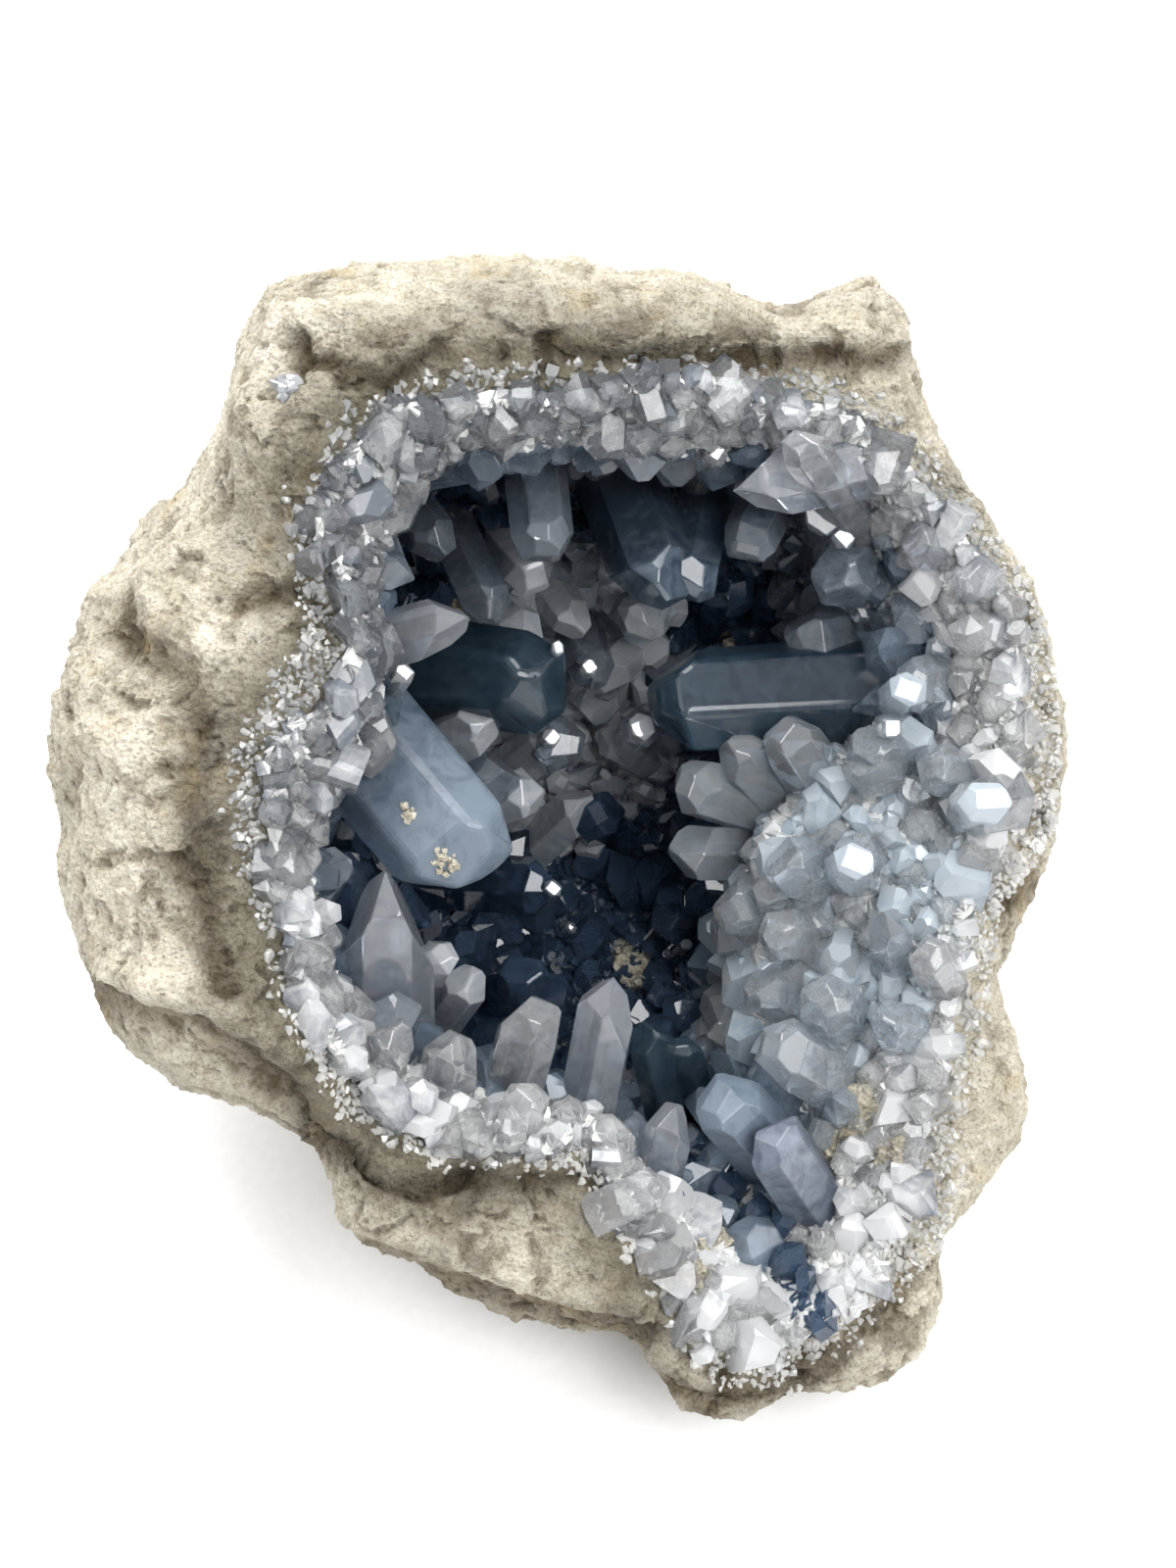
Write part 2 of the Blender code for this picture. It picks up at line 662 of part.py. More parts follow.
def add_small_crystals(name, spec, wall, bounds, spots, home):
    """Crystals between the large ones, on the part of the lining that the spec takes in."""
    chance = random.Random(spec["seed"])
    low, high = spec["below_rim"]
    patches = lining_patches()
    placed = 0
    for patch in chance.choices(patches, weights=[patch_area(patch) for patch in patches], k=4000):
        spot, into_air = spot_on(patch, chance)
        crowded = any((spot - other).length < keep + spec["spacing"] / 2 for other, keep in spots)
        if crowded or not low < below_rim(spot) < high:
            continue
        wide = chance.uniform(*spec["width"])
        sway = Vector([chance.uniform(-0.35, 0.35) for _ in range(3)])
        away = (Vector((0, 0, spec["lift"])) + into_air + sway).normalized()
        tip = spot + away * chance.uniform(*spec["height"])
        if depth_inside(bounds, tip) < 0.3 * wide:
            continue
        habit = chance.choice(["sharp", "chisel", "chisel", "blunt"])
        size = (wide, wide * chance.uniform(0.65, 0.95))
        add_crystal(f"{name}_{placed:02d}", tip, spot, size, habit, wall, home, chance, 5)
        spots.append((spot, spec["spacing"] / 2))
        placed += 1
        if placed == spec["count"]:
            break
    print(name, "crystals:", placed)


def principled(name, colour, roughness, transmission=0.0):
    material = bpy.data.materials.new(name)
    material.use_nodes = True
    shader = material.node_tree.nodes["Principled BSDF"]
    shader.inputs["Base Color"].default_value = colour
    shader.inputs["Roughness"].default_value = roughness
    shader.inputs["Metallic"].default_value = 0.0
    shader.inputs["Transmission Weight"].default_value = transmission
    shader.inputs["IOR"].default_value = 1.62 if transmission else 1.5
    material.diffuse_color = colour
    return material


def add_hollow_cutter(home):
    """What is taken out of the rock: the hollow and a funnel above its rim."""
    cutter = add_object("hollow_cut", hollow_mesh(hollow_wall), home)
    hide_cutter(cutter)
    return cutter


def add_crust(home, cutters):
    """The lining and its crystals: the hollow less the air between the crystals."""
    air = hollow_mesh(crust_front)
    wall = BVHTree.FromBMesh(air)
    solid = hollow_mesh(crust_back)
    bounds = BVHTree.FromBMesh(solid)
    crystals = collection("crystal_shapes")
    spots = add_large_crystals(wall, bounds, crystals)
    add_small_crystals("wall", WALL_CRYSTALS, wall, bounds, spots, crystals)
    add_small_crystals("rim", RIM_CRYSTALS, wall, bounds, spots, crystals)
    open_air = add_object("open_air", air, cutters)
    cut(open_air, "crystals", operands=crystals)
    free_air = evaluated_bmesh(open_air)
    keep_largest_island(free_air)
    air_cut = add_object("air_cut", free_air, cutters)
    hide_cutter(open_air)
    hide_cutter(air_cut)
    filled = add_object("filled_hollow", solid, cutters)
    hide_cutter(filled)
    cut(filled, "air", operand=air_cut)
    grown = evaluated_bmesh(filled)
    keep_largest_island(grown)
    bmesh.ops.dissolve_degenerate(grown, edges=grown.edges[:], dist=0.002 * MM)
    crust = add_object("celestite_crust", grown, home)
    thinner = crust.modifiers.new("fewer triangles", "DECIMATE")
    thinner.ratio = CRUST_SHARE
    crust.data.materials.append(principled("celestite", CRYSTAL_COLOUR, 0.08, 1.0))
    return crust


def add_shell(home, hollow_cut, ground_cut):
    mesh = ringed_mesh(NODULE_SEGMENTS, NODULE_RINGS, nodule_wall)
    shell = add_object("limestone_shell", mesh, home)
    cut(shell, "hollow", operand=hollow_cut)
    cut(shell, "flat spot", operand=ground_cut)
    shell.data.materials.append(principled("limestone", ROCK_COLOUR, 0.9))
    return shell


def add_ground_cut(home):
    """A block whose top face is the surface on which the geode rests."""
    mesh = bmesh.new()
    bmesh.ops.create_cube(mesh, size=0.4)
    bmesh.ops.translate(mesh, vec=(0, 0, -0.2), verts=mesh.verts)
    cutter = add_object("ground_cut", mesh, home)
    hide_cutter(cutter)
    return cutter


def main():
    for thing in list(bpy.data.objects):
        bpy.data.objects.remove(thing)
    geode = collection("celestite_geode")
    cutters = collection("cutters")
    hollow_cut = add_hollow_cutter(cutters)
    ground_cut = add_ground_cut(cutters)
    crust = add_crust(geode, cutters)
    shell = add_shell(geode, hollow_cut, ground_cut)
    stand = bpy.data.objects.new("geode_lean", None)
    geode.objects.link(stand)
    stand.rotation_euler = (LEAN, 0, 0)
    stand.location = (MIDDLE_TO_SIDE, MIDDLE_TO_BACK, GROUND_BELOW_MIDDLE)
    for piece in (crust, shell, hollow_cut):
        piece.parent = stand


main()
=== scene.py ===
# %% [markdown]
# # A celestite geode
# The real object is a nodule of cream limestone, broken open over a hollow. The hollow is lined with
# pale blue celestite: large blunt crystals, a crowd of smaller ones between them, and a sugary fringe
# where the lining thins out on the broken rim. This lesson dresses the two plain solids of the frame,
# the limestone shell and the crystal crust, with the surfaces that the real ones show.
#
# We load the frame first. Everything that follows is placed by it, so nothing has to be fitted later.

# %% Load the frame
import collections
import itertools
import math
import random

import bmesh
import bpy
from mathutils import Matrix, Vector, noise
from mathutils.bvhtree import BVHTree


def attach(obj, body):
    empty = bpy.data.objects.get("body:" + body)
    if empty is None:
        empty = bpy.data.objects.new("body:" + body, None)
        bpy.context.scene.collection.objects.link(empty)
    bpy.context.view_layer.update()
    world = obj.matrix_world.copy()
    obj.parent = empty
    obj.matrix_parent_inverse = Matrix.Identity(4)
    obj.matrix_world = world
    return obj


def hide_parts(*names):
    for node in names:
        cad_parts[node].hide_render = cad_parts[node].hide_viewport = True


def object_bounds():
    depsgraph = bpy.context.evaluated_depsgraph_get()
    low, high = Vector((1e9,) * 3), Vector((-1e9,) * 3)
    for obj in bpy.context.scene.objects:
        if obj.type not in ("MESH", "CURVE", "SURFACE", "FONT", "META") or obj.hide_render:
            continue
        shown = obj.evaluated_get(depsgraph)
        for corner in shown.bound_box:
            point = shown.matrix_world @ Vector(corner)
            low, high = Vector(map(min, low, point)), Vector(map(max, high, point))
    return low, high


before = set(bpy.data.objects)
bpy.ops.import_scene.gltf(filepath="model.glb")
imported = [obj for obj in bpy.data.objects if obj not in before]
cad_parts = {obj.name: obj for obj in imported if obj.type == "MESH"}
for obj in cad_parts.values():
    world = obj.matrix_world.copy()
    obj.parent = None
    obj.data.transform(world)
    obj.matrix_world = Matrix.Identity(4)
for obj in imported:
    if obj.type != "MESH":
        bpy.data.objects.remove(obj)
cad_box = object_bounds()
MM = 0.001
print("loaded", sorted(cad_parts))

# %% [markdown]
# ## Where things are seen
# The geode lies back by 40 degrees and is looked at straight into its mouth. It helps to have two sets
# of coordinates: the world, and the geode lying flat on its back, with Z running up to the eye. In
# the lying one a picture point and a depth are enough to say where a crystal's tip is.

# %% Picture points and the lying frame
PIXEL = 0.175 * MM
PICTURE_MIDDLE = (600, 800)
EYE_DISTANCE = 430 * MM
LEAN = math.radians(40)
LYING_TO_WORLD = Matrix.Translation((4.2 * MM, 3.8 * MM, 75 * MM)) @ Matrix.Rotation(LEAN, 4, "X")
WORLD_TO_LYING = LYING_TO_WORLD.inverted()
RIM_HEIGHT = 34 * MM
RIM_FALL_TO_RIGHT = 0.25
RIM_RISE_UPWARD = 0.05


def seen_at(x, y, depth):
    """The world point at a depth in mm that the eye sees at pixel x, y."""
    shrink = 1 - depth * MM / EYE_DISTANCE
    across = (x - PICTURE_MIDDLE[0]) * PIXEL * shrink
    up = (PICTURE_MIDDLE[1] - y) * PIXEL * shrink
    return LYING_TO_WORLD @ Vector((across, up, depth * MM))


def pixel_of(place):
    """The picture point at which the eye sees a world point, and its depth in the lying frame."""
    lying = WORLD_TO_LYING @ place
    scale = PIXEL * (1 - lying.z / EYE_DISTANCE)
    x = PICTURE_MIDDLE[0] + lying.x / scale
    return Vector((x, PICTURE_MIDDLE[1] - lying.y / scale)), lying.z


def below_rim(place):
    """How far a world point lies below the sloping plane of the broken mouth."""
    lying = WORLD_TO_LYING @ place
    return RIM_HEIGHT - RIM_FALL_TO_RIGHT * lying.x + RIM_RISE_UPWARD * lying.y - lying.z


def ease(value, low, high):
    """0 below low, 1 above high, and a smooth step between them."""
    share = min(max((value - low) / (high - low), 0.0), 1.0)
    return share * share * (3 - 2 * share)


print("the middle of the picture is at", tuple(round(v / MM, 1) for v in seen_at(600, 800, 0)), "mm")

# %% [markdown]
# ## Camera, floor and light
# Facets only look like crystal when they have something to mirror. A white sky gives the soft
# daylight, four large soft windows give a broad grey sheen to the facets that face them, and one small
# bright window gives the white flashes, on crystals that are aimed at it later on. The camera looks
# down at 50 degrees, straight into the mouth. A few helpers for objects and meshes come first.

# %% Objects and meshes
def add_object(name, data):
    """An object that holds this mesh, camera or light, in the scene."""
    thing = bpy.data.objects.new(name, data)
    bpy.context.scene.collection.objects.link(thing)
    return thing


def mesh_of(shape, name="crystal"):
    """Turn a bmesh into a mesh."""
    data = bpy.data.meshes.new(name)
    shape.to_mesh(data)
    shape.free()
    return data


def triangulate(shape):
    bmesh.ops.triangulate(shape, faces=shape.faces[:])


def cut(shape, place, normal, **options):
    """Cut a bmesh by a plane; returns the edges of the cut."""
    everything = shape.verts[:] + shape.edges[:] + shape.faces[:]
    done = bmesh.ops.bisect_plane(shape, geom=everything, plane_co=place, plane_no=normal, **options)
    return [item for item in done["geom_cut"] if isinstance(item, bmesh.types.BMEdge)]


# %% Camera
FRAME_HEIGHT = 280 * MM  # what the picture's 1600 pixels span at the depth of the nodule's middle
SENSOR = 36

camera = add_object("camera", bpy.data.cameras.new("camera"))
camera.data.sensor_fit = "VERTICAL"
camera.data.sensor_height = SENSOR
camera.data.lens = SENSOR * EYE_DISTANCE / FRAME_HEIGHT
camera.matrix_world = LYING_TO_WORLD @ Matrix.Translation((0, 0, EYE_DISTANCE))
bpy.context.scene.camera = camera
print("lens", round(camera.data.lens, 1), "mm")


# %% Colours and nodes
def srgb(code):
    """A hex colour as the linear red, green, blue and alpha that Blender works with."""
    parts = [int(code[i:i + 2], 16) / 255 for i in (1, 3, 5)]
    linear = [p / 12.92 if p <= 0.04045 else ((p + 0.055) / 1.055) ** 2.4 for p in parts]
    return (*linear, 1.0)


def scale_for(size):
    """The scale of a noise whose features are this many millimetres wide."""
    return 1 / (size * MM)


def add_node(tree, kind, settings=None, links=None):
    """Add a node, set its options and sockets by name, and link sockets; a node gives its first output."""
    made = tree.nodes.new("ShaderNode" + kind)
    for name, value in (settings or {}).items():
        if name == "stops":
            first, last = made.color_ramp.elements
            for element, (place, colour) in zip((first, last), (value[0], value[-1])):
                element.position = place
                element.color = colour
            for place, colour in value[1:-1]:
                made.color_ramp.elements.new(place).color = colour
        elif isinstance(name, int) or name in made.inputs:
            made.inputs[name].default_value = value
        else:
            setattr(made, name, value)
    for name, source in (links or {}).items():
        if isinstance(source, bpy.types.Node):
            source = source.outputs[0]
        tree.links.new(source, made.inputs[name])
    return made


def new_material(name):
    """A material with an empty node tree, and that tree."""
    material = bpy.data.materials.new(name)
    material.use_nodes = True
    material.node_tree.nodes.clear()
    return material, material.node_tree


print("a 4 mm pattern has the scale", round(scale_for(4)))

# %% Floor
FLOOR_SIZE = 3.0


def floor_material():
    """White matt card: bright, with the faintest tooth, so that it takes only a soft shadow."""
    material, tree = new_material("white matt card")
    where = add_node(tree, "TexCoord").outputs["Object"]
    tooth = add_node(tree, "TexNoise", {"Scale": scale_for(2.5), "Detail": 2}, {"Vector": where})
    stops = [(0.3, srgb("#F4F4F4")), (0.7, srgb("#F8F8F8"))]
    tint = add_node(tree, "ValToRGB", {"stops": stops}, {"Fac": tooth})
    shader = add_node(tree, "BsdfPrincipled", {"Roughness": 0.9}, {"Base Color": tint})
    add_node(tree, "OutputMaterial", links={"Surface": shader})
    return material


def add_floor():
    shape = bmesh.new()
    bmesh.ops.create_grid(shape, x_segments=1, y_segments=1, size=FLOOR_SIZE)
    floor = add_object("floor", mesh_of(shape, "floor"))
    floor.data.materials.append(floor_material())


add_floor()
print("the floor is", 2 * FLOOR_SIZE, "m wide")

# %% Sky and windows
LIT_POINT = Vector((0, 0, 0.08))  # the middle of the geode
SMALL_WINDOW = Vector((0.30, -0.45, 1.15))
WINDOWS = (
    # name, place and size in metres, and watts
    ("window_overhead", (-0.10, 0.42, 0.95), 0.80, 12.0),
    ("window_left", (-0.95, 0.05, 0.75), 0.70, 7.2),
    ("window_right", (0.95, -0.15, 0.70), 0.70, 4.5),
    ("window_front", (0.50, -0.70, 1.05), 0.70, 11.2),
    ("window_small", SMALL_WINDOW, 0.12, 0.8),
)
SKY_STRENGTH = 0.56


def add_window(name, place, size, watts):
    """A square light that faces the geode."""
    light = bpy.data.lights.new(name, "AREA")
    light.size = size
    light.energy = watts
    lamp = add_object(name, light)
    lamp.location = place
    lamp.rotation_euler = (LIT_POINT - Vector(place)).to_track_quat("-Z", "Y").to_euler()


def add_sky(strength):
    world = bpy.data.worlds.new("white sky")
    bpy.context.scene.world = world
    world.use_nodes = True
    world.node_tree.nodes["Background"].inputs["Color"].default_value = srgb("#F6F8FC")
    world.node_tree.nodes["Background"].inputs["Strength"].default_value = strength


for row in WINDOWS:
    add_window(*row)
add_sky(SKY_STRENGTH)
bpy.context.scene.view_settings.view_transform = "Standard"
print("lit by", len(WINDOWS), "windows")

# %% [markdown]
# ## Reading the frame's solids
# The CAD solids are loose triangles, so a copy is merged before anything is done to it. The crust lies
# 0.3 mm from the rock all over the hollow. That gives a simple test for the hollow's wall: it is every
# face of the rock that is within half a millimetre of the crust.

# %% Copies and search trees
MERGE_DISTANCE = 0.002 * MM
TOUCHING = 0.55 * MM


def merged_copy(node):
    """A bmesh of a solid, with its loose triangles joined."""
    shape = bmesh.new()
    shape.from_mesh(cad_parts[node].data)
    bmesh.ops.remove_doubles(shape, verts=shape.verts, dist=MERGE_DISTANCE)
    return shape


def search_tree(node):
    shape = merged_copy(node)
    tree = BVHTree.FromBMesh(shape)
    shape.free()
    return tree


ROCK_TREE = search_tree("limestone_shell")
CRUST_TREE = search_tree("celestite_crust")


def from_crust(place):
    return CRUST_TREE.find_nearest(place)[3]


def seen_surface(tree, x, y):
    """Where the eye's line through a picture point first meets a surface, and its normal there."""
    eye = camera.matrix_world.translation
    return tree.ray_cast(eye, (seen_at(x, y, 0) - eye).normalized())[:2]


def hollow_wall():
    """The part of the rock's surface that the crust lies against, as a bmesh."""
    shape = merged_copy("limestone_shell")
    bare = [face for face in shape.faces if from_crust(face.calc_center_median()) > TOUCHING]
    bmesh.ops.delete(shape, geom=bare, context="FACES")
    return shape


def add_piece(name, shape, material, node):
    """Turn a bmesh into a piece with this material, which stands for a CAD node whose solid is hidden."""
    piece = add_object(name, mesh_of(shape, name))
    piece.data.materials.append(material)
    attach(piece, "root")
    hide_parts(node)
    triangles = sum(len(face.vertices) - 2 for face in piece.data.polygons)
    print(name, "has", triangles, "triangles")
    return piece


def add_values(piece, name, values):
    """Store one number for each point, for a material to read by name."""
    attribute = piece.data.attributes.new(name, "FLOAT", "POINT")
    attribute.data.foreach_set("value", values)


eye_hit = seen_surface(ROCK_TREE, *PICTURE_MIDDLE)[0]
print("in the middle the rock is", round((eye_hit - camera.location).length / MM), "mm from the eye")

# %% The hollow's wall
WALL = hollow_wall()
print("the hollow's wall has", len(WALL.faces), "faces,",
      round(sum(face.calc_area() for face in WALL.faces) / MM ** 2), "square mm")

# %% [markdown]
# ## The limestone
# The nodule is a sandy limestone: rough and granular, cream where it is freshly broken, greyer where
# it is weathered. We could sculpt it from a fine sphere, but the solid already has the right lumps and
# ledges. So its copy is remeshed to even small faces, smaller still on the side that faces the eye,
# which gives noise something to move.

# %% Fine, even faces
ROCK_VOXEL = 1.66 * MM
ROCK_SMOOTHING = 2
FRONT_DEPTH = -14 * MM  # in front of this depth the rock shows from the mouth's side
COVERED = 2 * MM  # nearer to the crust than this, and deeper below the mouth, the rock is hidden
TO_EYE = LYING_TO_WORLD.to_3x3() @ Vector((0, 0, 1))


def modified_mesh(thing):
    """The mesh that an object's modifiers make of it."""
    bpy.context.view_layer.update()
    graph = bpy.context.evaluated_depsgraph_get()
    return bpy.data.meshes.new_from_object(thing.evaluated_get(graph))


def remeshed(shape, voxel, smoothing):
    """A closed copy of a bmesh made of even squares, with its edges softened."""
    rough = add_object("rough", mesh_of(shape, "rough"))
    remesh = rough.modifiers.new("even faces", "REMESH")
    remesh.mode = "VOXEL"
    remesh.voxel_size = voxel
    soften = rough.modifiers.new("soften", "SMOOTH")
    soften.iterations = smoothing
    fine = bmesh.new()
    fine.from_mesh(modified_mesh(rough))
    bpy.data.objects.remove(rough)
    return fine


def drop_crumbs(shape):
    """Remove the loose crumbs that the remeshing leaves beside the nodule."""
    unseen = set(shape.verts)
    parts = []
    while unseen:
        part = [unseen.pop()]
        for point in part:
            fresh = {edge.other_vert(point) for edge in point.link_edges} & unseen
            unseen -= fresh
            part += fresh
        parts.append(part)
    parts.sort(key=len)
    for part in parts[:-1]:
        bmesh.ops.delete(shape, geom=part, context="VERTS")


def shows_in_front(face):
    """Whether a face is in front, isn't turned away and has no crust over it."""
    centre = face.calc_center_median()
    if (WORLD_TO_LYING @ centre).z < FRONT_DEPTH or TO_EYE.dot(face.normal) < 0.1:
        return False
    return from_crust(centre) > COVERED or below_rim(centre) < COVERED


def fine_rock():
    shape = remeshed(merged_copy("limestone_shell"), ROCK_VOXEL, ROCK_SMOOTHING)
    drop_crumbs(shape)
    shape.normal_update()
    front = [face for face in shape.faces if shows_in_front(face)]
    edges = list({edge for face in front for edge in face.edges})
    bmesh.ops.subdivide_edges(shape, edges=edges, cuts=1, use_grid_fill=True)
    triangulate(shape)
    shape.normal_update()
    return shape


rock = fine_rock()
print("the rock has", len(rock.faces), "triangles before its surface is worked")

# %% [markdown]
# ## Working the rock's surface
# Noise alone would give any stone. We know this one by its ledge, its pit and its long creases, so
# they are drawn as paths of picture points: a crease is a groove along its path, and a lip a
# swelling with a hollow under it. Chips and roughness from noise come on top.

# %% Creases and lips, drawn in picture points
CREASES = (
    # points along the crease, half width and depth in mm
    (((110, 640), (160, 672), (190, 700), (202, 745), (192, 800), (206, 860), (216, 950), (232, 1010)),
     3.4, 1.6),
    (((720, 1440), (780, 1400), (850, 1390), (930, 1300)), 3.0, 2.2),
    (((330, 560), (300, 600), (250, 612)), 2.4, 1.4),
    (((1000, 905), (1040, 925), (1062, 905)), 2.2, 1.6),
    (((470, 1195), (540, 1215), (600, 1200), (640, 1240)), 2.4, 1.4),
    (((298, 346), (303, 372)), 2.3, 3.6),
    (((336, 372), (400, 392), (452, 352)), 2.0, 1.0),
)
LIPS = (
    # points along the lip from left to right, half width and height in mm
    (((118, 1005), (150, 1022), (210, 1030), (255, 1062), (300, 1095), (345, 1150)), 3.2, 2.4),
    (((340, 1160), (400, 1198), (450, 1192)), 2.4, 1.8),
    (((345, 1248), (410, 1275), (480, 1300), (560, 1325), (645, 1345)), 2.8, 2.0),
    (((575, 340), (650, 352), (760, 350), (900, 350)), 2.4, 1.4),
    (((660, 1390), (720, 1425), (800, 1405)), 2.4, 1.4),
)
CREASE_WOBBLE = 26  # pixels over which a crease grows wider and narrower


def side_of_path(point, path):
    """Distance to a path of picture points, and whether the point lies above a path drawn rightwards."""
    nearest = None
    for start, end in zip(path, path[1:]):
        first = Vector(start)
        along = Vector(end) - first
        share = min(max((point - first).dot(along) / along.length_squared, 0), 1)
        away = point - (first + along * share)
        if nearest is None or away.length < nearest.length:
            nearest = away
            above = along.cross(away) < 0
    return nearest.length * PIXEL, above


def near_path(point, path, reach):
    """Whether a picture point is in the box around a path and its reach in mm."""
    margin = reach * MM / PIXEL
    xs, ys = zip(*path)
    across = min(xs) - margin < point.x < max(xs) + margin
    return across and min(ys) - margin < point.y < max(ys) + margin


def drawn_relief(point):
    """Height of the creases and lips at a picture point, and their painted shade with some dirt: in the
    grooves and in the hollow under each lip.
    """
    height = 0.0
    dirt = 0.0
    for path, width, depth in CREASES:
        if near_path(point, path, 3 * width):
            share = side_of_path(point, path)[0] / (width * MM)
            share *= 1 + 0.8 * noise.fractal(Vector((point.x, point.y, 0)) / CREASE_WOBBLE, 0.8, 2.1, 3)
            groove = math.exp(-share * share)
            height -= depth * groove
            dirt += groove
    for path, width, rise in LIPS:
        if near_path(point, path, 4 * width):
            distance, above = side_of_path(point, path)
            share = distance / (width * MM) * (1 if above else -1)
            height += rise * (math.exp(-(share - 0.6) ** 2) - 1.2 * math.exp(-(share + 1.2) ** 2))
            dirt += math.exp(-(share + 1.2) ** 2)
    return height * MM, min(dirt, 1.0)


print("drawn:", len(CREASES), "creases and", len(LIPS), "lips")

# %% Chips, pits and grain
CHIP_SIZE = 7 * MM
CHIP_TILT = 0.18
SMALL_CHIP_SIZE = 2.4 * MM
SMALL_CHIP_TILT = 0.22
LUMP_SIZE = 16 * MM
LUMP_HEIGHT = 1.1 * MM
ROUGHNESS_SIZE = 3.6 * MM
ROUGHNESS_HEIGHT = 0.5 * MM
SINK = -0.5 * MM  # keeps the worked surface inside the solid's box
STILL_BELOW = 2.5 * MM  # the flat spot keeps still
DRAWN_DEPTH = -30 * MM  # creases and lips are drawn only in front of this depth
NEAR_CRYSTALS = 20 * MM  # how far the grey tint, partly painted shade, reaches from the crust
PAINTED_LIGHT_COLUMNS = (560, 900)  # picture columns over which the grey tint fades out to the right, painting that side lighter
CAD_LOW, CAD_HIGH = (Vector(corner) for corner in cad_box)


def chips(place, size, tilt):
    """Flat-faced chips: each cell of the noise has a small plane with a slope of its own."""
    scaled = place / size
    centre = noise.voronoi(scaled)[1][0]
    slope = noise.cell_vector(centre * 7.3) - Vector((0.5, 0.5, 0.5))
    return (scaled - centre).dot(slope) * 2 * tilt * size


def grain_relief(place):
    """Lumps, chips of two sizes and roughness; the chipped areas come and go in patches."""
    rough = noise.fractal(place / ROUGHNESS_SIZE, 0.8, 2.1, 4) * ROUGHNESS_HEIGHT
    lumps = (0.5 - abs(noise.noise(place / LUMP_SIZE))) * LUMP_HEIGHT - 0.4 * LUMP_HEIGHT
    chipped = ease(noise.noise(place / LUMP_SIZE + Vector((7, 3, 5))), -0.25, 0.35)
    coarse = chips(place, CHIP_SIZE, CHIP_TILT)
    return lumps + coarse * (0.4 + 0.6 * chipped) + chips(place, SMALL_CHIP_SIZE, SMALL_CHIP_TILT) + rough


def work_rock(shape):
    """Move the rock's points along their normals; returns each point's painted shade with some dirt, and
    its grey tint near the crystals.
    """
    moves = []
    dirts_and_shades = []
    greys_and_shades = []
    for point in shape.verts:
        place = point.co
        crust = from_crust(place)
        pixel, depth = pixel_of(place)
        relief = dirt = 0.0
        if depth > DRAWN_DEPTH and TO_EYE.dot(point.normal) > -0.5:
            relief, dirt = drawn_relief(pixel)
            relief *= ease(TO_EYE.dot(point.normal), 0.0, 0.5)
        grain = grain_relief(place)
        share = ease(place.z, 0.6 * MM, STILL_BELOW) * ease(crust, 0.35 * MM, 1.4 * MM)
        moves.append(point.normal * ((relief + grain + SINK) * share))
        # painted shade with some dirt: darker in the creases, in the hollows under the lips and in the low
        # spots of the grain
        dirts_and_shades.append(min(max(0.8 * dirt + ease(-grain, 0.1 * MM, 0.9 * MM) * 0.6, 0), 1))
        # the grey tint near the crystals is partly the rock's own grey and partly painted shade; it fades
        # out towards the right, which paints that side lighter
        greyed_and_shaded = 1 - 0.85 * ease(pixel.x, *PAINTED_LIGHT_COLUMNS)
        greys_and_shades.append((1 - ease(crust, 0.5 * MM, NEAR_CRYSTALS)) * greyed_and_shaded)
    for point, move in zip(shape.verts, moves):
        moved = point.co + move
        point.co = [min(max(moved[i], CAD_LOW[i]), CAD_HIGH[i]) for i in range(3)]
    return dirts_and_shades, greys_and_shades


dirts_and_shades, greys_and_shades = work_rock(rock)
print("moved", len(dirts_and_shades), "points of the rock")

# %% Where the rock meets the crystals
FRINGE_REACH = 7 * MM
FRINGE_DEPTH = 7 * MM  # how far above or below the plane of the mouth it may grow


def fringe_faces(shape):
    """Faces of the bare rim beside the crystals: middle, normal and distance from the crust."""
    shape.normal_update()
    found = []
    for face in shape.faces:
        middle = face.calc_center_median()
        crust = from_crust(middle)
        if 0.45 * MM < crust < FRINGE_REACH and TO_EYE.dot(face.normal) > 0.3:
            if abs(below_rim(middle)) < FRINGE_DEPTH:
                found.append((middle, face.normal.copy(), crust))
    return found


FRINGE_FACES = fringe_faces(rock)
print("the rim beside the crystals has", len(FRINGE_FACES), "faces")

# %% [markdown]
# ## The limestone's finish
# A broken limestone is matt: it has no gloss to speak of, and its own colour is all in its grains. Five
# noises lay that colour on: broad cream and grey patches, a mottle, single grains, dark specks and
# ochre stains. Two numbers stored on the mesh add painted shade. One darkens the creases, the hollows
# under the lips and the low grains: painted shade with some dirt. The other greys the rock near the
# crystals, partly its own grey and partly painted shade, and it fades out to the right, which paints
# that side lighter. The mottle's hollows are also pits, and a Voronoi pattern of 0.8 mm makes the grit.

# %% Limestone finish
STONE_LAYERS = {
    # feature width in mm, detail, roughness, and the tints along the noise
    "broad": (25, 5, 0.65, ((0.34, "#C2BDB1"), (0.48, "#DBD5C5"), (0.62, "#ECE7D9"))),
    "mottle": (3.85, 7, 0.75, ((0.36, "#CBC5B8"), (0.5, "#F3F1EC"), (0.62, "#FFFFFF"))),
    "grains": (0.714, 2, 0.8, ((0.32, "#B7B1A6"), (0.43, "#F3F1EC"), (0.6, "#FFFFFF"))),
    "specks": (1.61, 3, 0.75, ((0.68, "#000000"), (0.74, "#FFFFFF"))),
    "ochre": (10.5, 4, 0.6, ((0.58, "#000000"), (0.74, "#CBCBCB"))),
}
SAND_GRAIN = 0.833  # mm
PIT_DEPTH = 1.6 * MM
GRIT_DEPTH = 0.5 * MM


